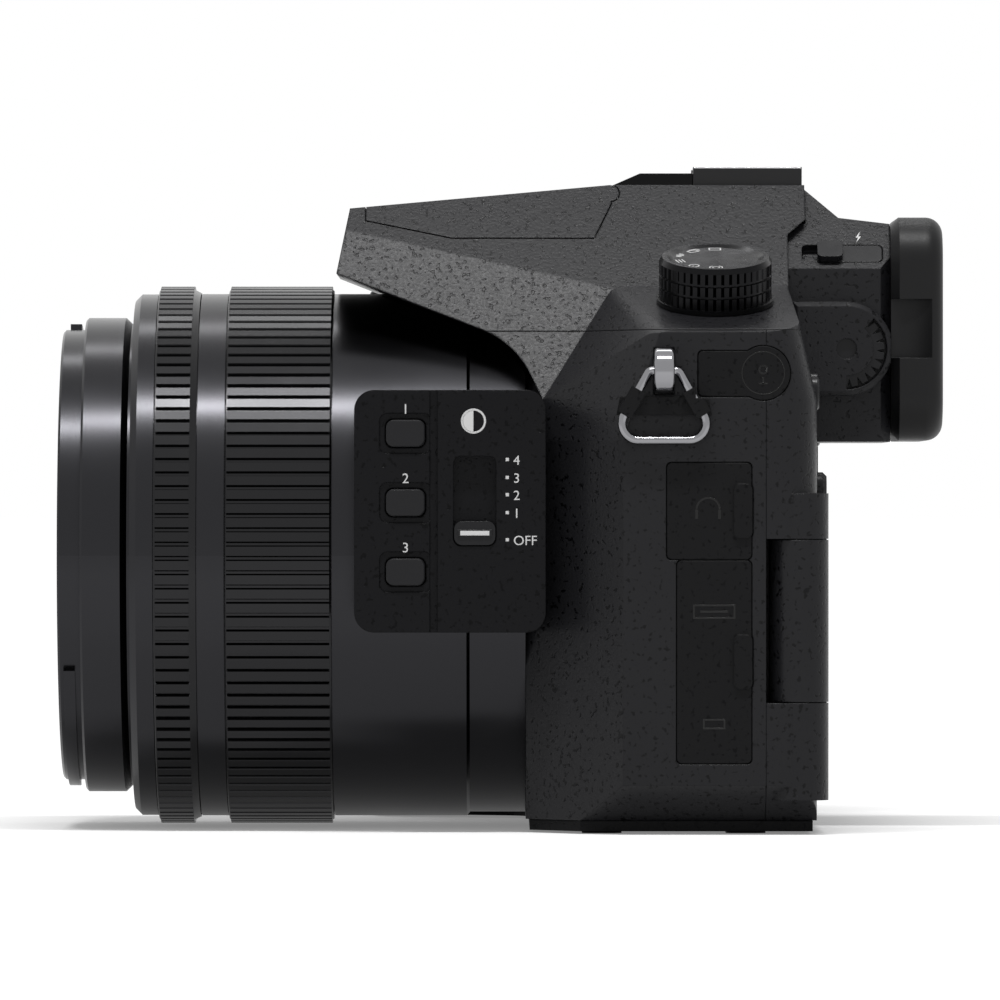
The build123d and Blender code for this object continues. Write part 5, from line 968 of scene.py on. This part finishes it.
@dataclass
class SidePanel:
    """Labels of the control panel on the side of the lens."""

    front_y: float = -49.0
    face_x: float = 46.6
    flat_x: float = 46.1
    buttons: int = 3
    button_y: float = 7.75
    button_high: float = 41.2
    button_pitch: float = 10.45
    number_lift: float = 0.9
    number_size: float = 1.55
    steps: tuple[float, ...] = (43.2, 47.3, 50.0, 52.6, 55.3)
    labels: tuple[str, ...] = ("OFF", "1", "2", "3", "4")
    label_y: float = 24.0
    label_size: float = 1.5
    tick_y: float = 23.1
    tick_lift: float = 0.8
    tick_size: float = 0.5
    sign_at: Point = (18.0, 61.9)
    sign_radius: float = 1.9
    sign_line: float = 0.32
    sign_fill: float = 1.6
    sign_half: Point = (90.0, 180.0)
    knob_rise: float = 0.5
    knob_at: Point = (18.2, 45.0)
    knob_line: Point = (4.4, 0.7)

    def build(self, palette: Palette) -> None:
        """Makes the numbers, the switch's scale and sign, and the line on its knob.

        Args:
            palette: The camera's finishes.
        """
        numbers = Marks(placed((self.flat_x, self.front_y, 0), Facing.LEFT))
        for index in range(self.buttons):
            foot = self.button_high + self.number_lift + index * self.button_pitch
            numbers.text(str(self.buttons - index), self.button_y, foot, self.number_size)
        numbers.make("panel_button_numbers", palette.ink, "camera")
        scale = Marks(placed((self.face_x, self.front_y, 0), Facing.LEFT))
        for height, label in zip(self.steps, self.labels):
            scale.bar(self.tick_y, height + self.tick_lift, self.tick_size, self.tick_size)
            scale.text(label, self.label_y, height, self.label_size, centred=False)
        scale.ring(*self.sign_at, self.sign_radius, self.sign_line)
        scale.segment(*self.sign_at, self.sign_fill, *self.sign_half)
        scale.make("panel_switch_scale", palette.ink, "camera")
        knob = Marks(placed((self.face_x + self.knob_rise, self.front_y, 0), Facing.LEFT))
        knob.bar(*self.knob_at, *self.knob_line)
        knob.make("switch_knob_line", palette.ink, "nd_switch")


@dataclass
class DialMarks:
    """Signs and numbers on the two dials, and the words beside the power lever."""

    sign_radius: float = 5.6
    sign_start: float = 180.0
    sign_pitch: float = 36.0
    # One picture, several, three exposures, a list, a clock, and a clock between two arcs
    signs: tuple[Sign, ...] = (
        Sign(frames=((0, 0, 1.9, 1.4, 0.2),)),
        Sign(frames=((-0.2, -0.2, 1.7, 1.2, 0.2),), bars=((0.35, 0.6, 1.5, 0.2), (1.0, 0.15, 0.2, 1.1))),
        Sign(bars=((-0.7, 0, 0.35, 0.8), (0, 0, 0.35, 1.2), (0.7, 0, 0.35, 0.8))),
        Sign(bars=((0, -0.5, 1.7, 0.2), (0, 0, 1.7, 0.2), (0, 0.5, 1.7, 0.2))),
        Sign(rings=((0, 0, 0.85, 0.2),), bars=((0, 0.3, 0.2, 0.5),)),
        Sign(rings=((0, 0, 0.6, 0.18), (0, 0, 1.05, 0.18, 120, 120), (0, 0, 1.05, 0.18, -60, 120))),
    )
    numbers: int = 8
    number_radius: float = 7.3
    number_size: float = 1.6
    words_over: Point = (-41.0, 4.0, 82.0)
    words: tuple[tuple[str, float, float], ...] = (("OFF", 17.6, -0.6), ("ON", 15.6, 8.1))
    word_size: float = 1.3
    index_at: Point = (0.0, -12.9)
    index_size: Point = (0.4, 0.9)

    def build(self, palette: Palette) -> None:
        """Makes the signs of the drive dial, the numbers of the mode dial and the lever's words.

        Args:
            palette: The camera's finishes.
        """
        top = leaning(DRIVE_TOP, DECK_TILT)
        pieces = []
        for index, sign in enumerate(self.signs):
            turn = math.radians(self.sign_start + index * self.sign_pitch)
            spot = Matrix.Translation(Vector((math.cos(turn), math.sin(turn), 0)) * self.sign_radius * MM)
            marks = Marks(top @ spot @ Matrix.Rotation(turn - math.pi / 2, 4, "Z"))
            sign.draw(marks)
            pieces.append(marks.mesh)
        finished(joined(pieces), "drive_dial_signs", palette.ink, "drive_dial")
        numbers = Marks(leaning(MODE_TOP, 0.0))
        foot = self.number_radius - self.number_size
        for index in range(self.numbers):
            numbers.text(str(index + 1), 0.0, foot, self.number_size, index * 360 / self.numbers)
        numbers.make("mode_dial_numbers", palette.ink, "mode_dial")
        # The lever's tab points right when it is off, and turns towards the front to switch on
        words = Marks(placed(self.words_over, Facing.TOP))
        for word, across, forward in self.words:
            words.text(word, across, forward, self.word_size)
        words.bar(*self.index_at, *self.index_size)
        words.lay("top_cover")
        words.make("power_lever_words", palette.ink, "camera")


@dataclass
class SideSigns:
    """Pressed signs on the socket doors, and the printed bolt over the flash release."""

    door_face: float = 52.0
    # Each sign's name, the door that carries it, its middle along the side and up, and its shapes
    signs: tuple[tuple[str, str, Point, Sign], ...] = (
        (
            "phones_sign",
            "phones_port_cover",
            (4.3, 48.4),
            Sign(
                rings=((0, 0.2, 1.9, 0.35, 0, 180),),
                bars=((-1.72, -0.5, 0.5, 1.5), (1.72, -0.5, 0.5, 1.5)),
            ),
        ),
        (
            "socket_signs",
            "data_port_cover",
            (5.2, 25.6),
            Sign(
                frames=((0, 7.6, 6.4, 2.2, 0.3), (0, -9.3, 3.4, 1.6, 0.3)),
                bars=((0, 7.6, 4.2, 0.35),),
            ),
        ),
        (
            "microphone_sign",
            "mic_port_cover",
            (12.57, 69.1),
            Sign(
                rings=((0, 0, 3.3, 0.2), (0, 0.5, 0.75, 0.3)),
                bars=((0, -1.1, 0.3, 1.0), (0, -1.6, 1.4, 0.25)),
            ),
        ),
    )
    bolt_at: Point = (22.0, 27.9, 90.3)
    bolt: tuple[Point, ...] = ((0.35, 0.95), (-0.45, -0.1), (-0.02, -0.1))

    def build(self, palette: Palette) -> None:
        """Makes each sign on the door that it belongs to, and the bolt.

        Args:
            palette: The camera's finishes.
        """
        for name, door, place, sign in self.signs:
            marks = Marks(placed((self.door_face, *place), Facing.LEFT))
            sign.draw(marks)
            marks.lay(door)
            marks.make(name, palette.sign, door)
        bolt = Marks(placed(self.bolt_at, Facing.LEFT))
        for side in (1, -1):
            bolt.prism([(side * x, side * y) for x, y in self.bolt])
        bolt.lay("evf_housing")
        bolt.make("flash_bolt", palette.ink, "camera")


@dataclass
class BackMarks:
    """Signs, sight sensor, lamp and screen frame on the back."""

    back: float = 20.8
    play_at: Point = (-47.0, 57.5)
    play_sign: tuple[Point, ...] = ((-0.6, 3.5), (0.9, 4.3), (-0.6, 5.1))
    menu_at: Point = (-43.0, 46.5)
    menu_lines: int = 3
    menu_foot: float = 3.6
    menu_pitch: float = 0.55
    menu_line: Point = (1.8, 0.22)
    pad_at: Point = (-50.0, 28.5)
    arrows: int = 4
    arrow: tuple[Point, ...] = ((-0.8, 7.3), (0.8, 7.3), (0.0, 8.5))
    sensor_low: Point = (-17.6, 32.5, 63.2)
    sensor_high: Point = (-11.6, 32.85, 64.9)
    sensor_bevel: float = 0.12
    lamp_at: Point = (-52.6, 20.7, 57.5)
    lamp_profile: tuple[Point, ...] = ((0, 0), (0.8, 0), (0.8, 0.15), (0.5, 0.3), (0, 0.35))
    screen_at: Point = (4.45, 22.4, 29.5)
    screen_size: Point = (65.6, 43.6)
    screen_line: float = 1.6
    screen_height: float = 0.04

    def build(self, palette: Palette) -> None:
        """Makes the signs beside the buttons and the small windows.

        Args:
            palette: The camera's finishes.
        """
        play = self.marks(self.play_at)
        play.prism(self.play_sign)
        play.lay("rear_cover")
        play.make("playback_sign", palette.ink, "camera")
        menu = self.marks(self.menu_at)
        for index in range(self.menu_lines):
            menu.bar(0, self.menu_foot + self.menu_pitch * index, *self.menu_line)
        menu.lay("rear_cover")
        menu.make("menu_sign", palette.ink, "camera")
        pad = self.marks(self.pad_at)
        for index in range(self.arrows):
            spin = Matrix.Rotation(math.tau * index / self.arrows, 2)
            pad.prism([spin @ Vector(corner) for corner in self.arrow])
        pad.lay("direction_pad")
        pad.make("pad_arrows", palette.ink, "direction_pad")
        window = plate(self.sensor_low, self.sensor_high, self.sensor_bevel)
        finished(window, "sight_sensor_window", palette.by_slot["screen_glass"], "camera")
        place = Matrix.Translation(Vector(self.lamp_at) * MM) @ Matrix.Rotation(math.radians(-90), 4, "X")
        finished(lathed(self.lamp_profile, place), "card_lamp", palette.by_slot["flash_clear"], "camera")
        border = Marks(placed(self.screen_at, Facing.BACK), self.screen_height)
        border.frame(0, 0, *self.screen_size, self.screen_line)
        border.make("screen_border", palette.dark_print_and_shade, "monitor")

    def marks(self, at: Point) -> Marks:
        """Marks on the back about a place, given across and up."""
        return Marks(placed((at[0], self.back, at[1]), Facing.BACK))


@dataclass
class ShoeFittings:
    """Contacts and side springs of the accessory shoe, bright strips painted as highlights on its top edges,
    and painted shade in the holes for the microphones.
    """

    floor: float = 99.05
    sunk: float = 0.02
    contacts: tuple[Point, ...] = ((0.0, 11.5, 1.3), (-3.4, 6.6, 0.75), (0.0, 6.2, 0.75), (3.4, 6.6, 0.75))
    pad_rise: float = 0.12
    dome_share: float = 0.6
    dome_shoulder: float = 0.24
    dome_top: float = 0.3
    spring_x: float = 8.2
    spring_half: float = 0.8
    spring_along: Point = (5.2, 17.4)
    spring_rise: float = 0.22
    spring_bevel: float = 0.08
    # Bright metal strips along the shoe's top edges, painted highlights
    edge_x: float = 10.6
    edge_half: float = 0.18
    edge_along: Point = (2.8, 19.3)
    edge_height: Point = (100.96, 101.22)
    edge_bevel: float = 0.05
    # The microphone holes are dark rings, painted shade
    holes_over: Point = (0.0, -2.0, 100.3)
    hole_depth: float = 0.04
    hole_row: int = 4
    hole_pitch: float = 1.1
    hole_side: float = 4.6
    hole_radius: float = 0.36
    hole_line: float = 0.34

    def build(self, palette: Palette) -> None:
        """Makes the small metal pieces of the shoe, the painted highlights on its edges, and the painted
        shade of the microphone holes.

        Args:
            palette: The camera's finishes.
        """
        pads = [self.contact(*contact) for contact in self.contacts]
        finished(joined(pads), "shoe_contacts", palette.brass, "camera")
        spring_height = (self.floor - self.sunk, self.floor + self.spring_rise)
        springs = self.strips(
            self.spring_x, self.spring_half, self.spring_along, spring_height, self.spring_bevel
        )
        finished(springs, "shoe_springs", palette.by_slot["rod_steel"], "camera")
        # The top edges get strips of bright metal as painted highlights
        edges = self.strips(self.edge_x, self.edge_half, self.edge_along, self.edge_height, self.edge_bevel)
        finished(edges, "shoe_edge_painted_highlights", palette.highlight_metal, "camera")
        # Each hole is a dark ring laid on the hood as painted shade
        holes = Marks(placed(self.holes_over, Facing.TOP), self.hole_depth)
        for side in (1, -1):
            for index in range(self.hole_row):
                across = side * self.hole_side + (index - (self.hole_row - 1) / 2) * self.hole_pitch
                holes.ring(across, 0, self.hole_radius, self.hole_line)
        holes.make("microphone_hole_shade", palette.dark_print_and_shade, "camera")

    def contact(self, x: float, y: float, radius: float) -> bmesh.types.BMesh:
        """Makes a round contact with a domed middle.

        Args:
            x: Its middle across.
            y: Its middle along.
            radius: Its radius.

        Returns:
            The mesh, in metres.
        """
        place = Matrix.Translation(Vector((x, y, self.floor - self.sunk)) * MM)
        shoulder = (radius * self.dome_share, self.dome_shoulder)
        profile = [(0, 0), (radius, 0), (radius, self.pad_rise), shoulder, (0, self.dome_top)]
        return lathed(profile, place, SMALL_STEPS)

    def strips(
        self, middle: float, half: float, along: Point, height: Point, bevel_mm: float
    ) -> bmesh.types.BMesh:
        """Makes two long plates, one on each side of the shoe.

        Args:
            middle: How far each plate's middle lies from the shoe's.
            half: Half its width.
            along: Where it starts and ends along the shoe.
            height: Its underside and its top.
            bevel_mm: Width of its bevels.

        Returns:
            Both plates in one mesh.
        """
        return joined(
            plate(
                (side * middle - half, along[0], height[0]),
                (side * middle + half, along[1], height[1]),
                bevel_mm,
            )
            for side in (1, -1)
        )


@dataclass
class BaseFittings:
    """Screws with dark cross slots painted as shade, the tripod thread and the outline of a bare label under
    the base.
    """

    screws: tuple[Point, ...] = ((38.0, -16.0), (38.0, 13.0), (-22.0, -17.0), (-20.0, 14.0), (-50.0, 13.0))
    head: tuple[Point, ...] = ((0, 0), (1.5, 0), (1.45, 0.06), (1.1, 0.12), (0, 0.12))
    head_height: float = 0.02
    recess_long: float = 1.5
    recess_short: float = 0.34
    recess_over: Point = (0.0, 0.0, -0.1)
    recess_depth: float = 0.02
    thread: Thread = Thread(radius=3.17, crest=2.85, start=0.5, pitch=1.27, turns=4, half=0.35)
    label_over: Point = (10.0, -1.0, 0.0)
    label_at: Point = (0.0, 9.0)
    label_size: Point = (22.0, 8.0)
    label_line: float = 0.2

    def build(self, palette: Palette) -> None:
        """Makes the pieces under the camera.

        Args:
            palette: The camera's finishes.
        """
        # The cross slots are flat dark marks, painted shade in place of recesses
        heads, slot_shades = [], Marks(placed(self.recess_over, Facing.BASE), self.recess_depth)
        downward = Matrix.Rotation(math.pi, 4, "X")
        for x, y in self.screws:
            place = Matrix.Translation(Vector((x, y, self.head_height)) * MM) @ downward
            heads.append(lathed(self.head, place, SMALL_STEPS))
            slot_shades.bar(x, -y, self.recess_long, self.recess_short)
            slot_shades.bar(x, -y, self.recess_short, self.recess_long)
        finished(joined(heads), "base_screws", palette.by_slot["cell_black"], "camera")
        slot_shades.make("screw_slot_painted_shade", palette.dark_print_and_shade, "camera")
        ridges = self.thread.mesh(Matrix.Identity(4))
        finished(ridges, "tripod_thread_ridges", palette.by_slot["rod_steel"], "camera")
        label = Marks(placed(self.label_over, Facing.BASE))
        label.frame(*self.label_at, *self.label_size, self.label_line)
        label.make("bare_label_outline", palette.dark_print_and_shade, "camera")


@dataclass
class LensTrim:
    """Thread ridges inside the rim of the lens."""

    axis_height: float = 41.55
    rim: float = -94.3
    thread: Thread = Thread(radius=33.53, crest=33.1, start=0.7, pitch=0.75, turns=6, half=0.3, steps=96)

    def build(self, palette: Palette) -> None:
        """Makes the ridges, turned about the lens."""
        ridges = self.thread.mesh(self.turned())
        finished(ridges, "filter_thread_ridges", palette.by_slot["lens_black"], "camera")

    def turned(self) -> Matrix:
        """Places a frame at the middle of the rim.

        Returns:
            A matrix whose Z axis runs back along the lens.
        """
        place = Matrix.Rotation(math.radians(-90), 4, "X")
        place.translation = Vector((0, self.rim, self.axis_height)) * MM
        return place


@dataclass
class FlashFittings:
    """Ribs of the flash window, and a dark sheet in the flash head's seam that paints shade into the gap."""

    window_at: Point = (0.0, -45.4, 89.1)
    ribs: int = 14
    rib_pitch: float = 1.5
    rib_size: Point = (0.5, 4.4)
    rib_depth: float = 0.12
    # A dark sheet in the seam behind the flash head, as painted shade
    shade_sheet_at: Point = (-0.1, 0.0, 0.0)
    shade_sheet_width: float = 0.2
    shade_sheet: tuple[Point, ...] = ((-12.48, 90.2), (-11.4, 90.2), (-9.5, 95.2), (-10.15, 95.2))
    heel_at: Point = (-10.0, 97.1)
    heel_radius: float = 1.9
    heel_line: float = 0.64
    heel_start: float = -95.0
    heel_sweep: float = 125.0

    def build(self, palette: Palette) -> None:
        """Makes the ribs and the lip.

        Args:
            palette: The camera's finishes.
        """
        ribs = Marks(placed(self.window_at, Facing.FRONT), self.rib_depth)
        for index in range(self.ribs):
            ribs.bar((index - (self.ribs - 1) / 2) * self.rib_pitch, 0, *self.rib_size)
        ribs.make("flash_window_ribs", palette.by_slot["flash_clear"], "flash_head")
        # Without this dark sheet, daylight shows through the seam from one side of the hump to the other; it
        # paints the seam's shade
        shade_sheet = Marks(placed(self.shade_sheet_at, Facing.LEFT), self.shade_sheet_width)
        shade_sheet.prism(self.shade_sheet)
        shade_sheet.ring(*self.heel_at, self.heel_radius, self.heel_line, self.heel_start, self.heel_sweep)
        shade_sheet.make("flash_seam_shade_sheet", palette.dark_print_and_shade, "camera")


@dataclass(frozen=True)
class StripLamp:
    """A long softbox above one side of the camera. Its side is 1 on the left and -1 on the right."""

    name: str
    elevation: float
    distance: float
    size: Point
    power: float
    side: int


@dataclass
class Studio:
    """Pale floor, white surroundings, soft lamps and the camera of the photograph."""

    view_distance: float = 1.85
    view_height: float = 0.050
    view_along: float = -0.027
    sensor_mm: float = 36.0
    lens_mm: float = 430.6
    clip_start: float = 0.05
    clip_end: float = 100.0
    floor_radius: float = 30.0
    floor_steps: int = 96
    floor_height: float = -0.0004
    floor_colour: str = "#e6e6e6"
    floor_roughness: float = 0.9
    floor_near: float = 0.2
    floor_far: float = 0.7
    floor_fade_m: float = 1.5
    world_level: float = 0.4
    lamps: tuple[StripLamp, ...] = (
        StripLamp("key_strip", elevation=67.5, distance=1.0, size=(0.6, 0.08), power=9.0, side=1),
        StripLamp("far_strip", elevation=62.0, distance=1.1, size=(0.7, 0.12), power=1.98, side=-1),
    )

    def build(self) -> None:
        """Makes the floor, world, lamps and camera."""
        self.floor()
        self.world()
        for strip in self.lamps:
            self.lamp(strip)
        self.camera()

    def floor(self) -> None:
        """Makes a pale floor that keeps the camera's shadow."""
        mesh = bmesh.new()
        bmesh.ops.create_circle(
            mesh,
            cap_ends=True,
            segments=self.floor_steps,
            radius=self.floor_radius,
            matrix=Matrix.Translation((0, 0, self.floor_height)),
        )
        data = bpy.data.meshes.new("floor")
        mesh.to_mesh(data)
        mesh.free()
        floor = bpy.data.objects.new("floor", data)
        bpy.context.scene.collection.objects.link(floor)
        floor.data.materials.append(self.floor_finish())

    def floor_finish(self) -> bpy.types.Material:
        """Builds the floor's matt paint, which fades to white away from the camera.

        Returns:
            The new material.
        """
        material, tree = empty_material("pale_floor")
        # The floor stays white far away, and near the camera it is plain enough to keep the shadow
        place = add_node(tree, "ShaderNodeTexCoord").outputs["Object"]
        reach = add_node(tree, "ShaderNodeVectorMath", {0: place}, operation="LENGTH")
        level = add_node(
            tree,
            "ShaderNodeMapRange",
            {
                "Value": reach.outputs["Value"],
                "From Max": self.floor_fade_m,
                "To Min": self.floor_near,
                "To Max": self.floor_far,
            },
        )
        glow = add_node(
            tree,
            "ShaderNodeMath",
            {0: level.outputs[0], 1: self.seen(tree).outputs[0]},
            operation="MULTIPLY",
        )
        surface(
            tree,
            {
                "Base Color": linear(self.floor_colour),
                "Roughness": self.floor_roughness,
                "Specular IOR Level": 0.0,
                "Emission Color": WHITE,
                "Emission Strength": glow.outputs[0],
            },
        )
        return material

    def world(self) -> None:
        """Lights the room evenly, and shows it white to the view, to gloss and through glass."""
        world = bpy.data.worlds.new("white_room")
        world.use_nodes = True
        tree = world.node_tree
        tree.nodes.clear()
        level = add_node(
            tree,
            "ShaderNodeMapRange",
            {"Value": self.seen(tree).outputs[0], "To Min": self.world_level, "To Max": 1.0},
        )
        light = add_node(tree, "ShaderNodeBackground", {"Color": WHITE, "Strength": level.outputs[0]})
        add_node(tree, "ShaderNodeOutputWorld", {"Surface": light.outputs[0]})
        bpy.context.scene.world = world

    def seen(self, tree: bpy.types.NodeTree) -> bpy.types.Node:
        """Adds a value that is one for the view, for gloss and through glass.

        Args:
            tree: The node tree that needs it.

        Returns:
            The node that gives the value.
        """
        path = add_node(tree, "ShaderNodeLightPath")
        gloss = add_node(
            tree,
            "ShaderNodeMath",
            {0: path.outputs["Is Camera Ray"], 1: path.outputs["Is Glossy Ray"]},
            operation="MAXIMUM",
        )
        return add_node(
            tree,
            "ShaderNodeMath",
            {0: gloss.outputs[0], 1: path.outputs["Is Transmission Ray"]},
            operation="MAXIMUM",
        )

    def lamp(self, strip: StripLamp) -> None:
        """Adds one softbox, aimed at the camera.

        Args:
            strip: Its name, place, size and power.
        """
        data = bpy.data.lights.new(strip.name, "AREA")
        data.shape = "RECTANGLE"
        data.size, data.size_y = strip.size
        data.energy = strip.power
        lamp = bpy.data.objects.new(strip.name, data)
        angle = math.radians(strip.elevation)
        target = Vector((0, self.view_along, self.view_height))
        towards = Vector((strip.side * math.cos(angle), 0, math.sin(angle)))
        across = Vector((0, 1, 0))
        lamp.matrix_world = Matrix((across, towards.cross(across), towards)).transposed().to_4x4()
        lamp.location = target + towards * strip.distance
        bpy.context.scene.collection.objects.link(lamp)

    def camera(self) -> None:
        """Adds the camera, looking straight at the left side."""
        data = bpy.data.cameras.new("view")
        data.sensor_width = self.sensor_mm
        data.lens = self.lens_mm
        data.clip_start = self.clip_start
        data.clip_end = self.clip_end
        view = bpy.data.objects.new("view", data)
        view.location = (self.view_distance, self.view_along, self.view_height)
        view.rotation_euler = (math.radians(90), 0, math.radians(90))
        bpy.context.scene.collection.objects.link(view)
        bpy.context.scene.camera = view


def main() -> None:
    """Dresses the camera, adds its fine pieces and sets up the picture."""
    logging.basicConfig(level=logging.INFO, format="%(name)s: %(message)s")
    palette = Palette()
    palette.dress()
    for part in (
        SidePanel(),
        DialMarks(),
        SideSigns(),
        BackMarks(),
        ShoeFittings(),
        BaseFittings(),
        LensTrim(),
        FlashFittings(),
    ):
        part.build(palette)
    Studio().build()
    bpy.context.scene.view_settings.view_transform = "Standard"


if __name__ == "__main__":
    main()
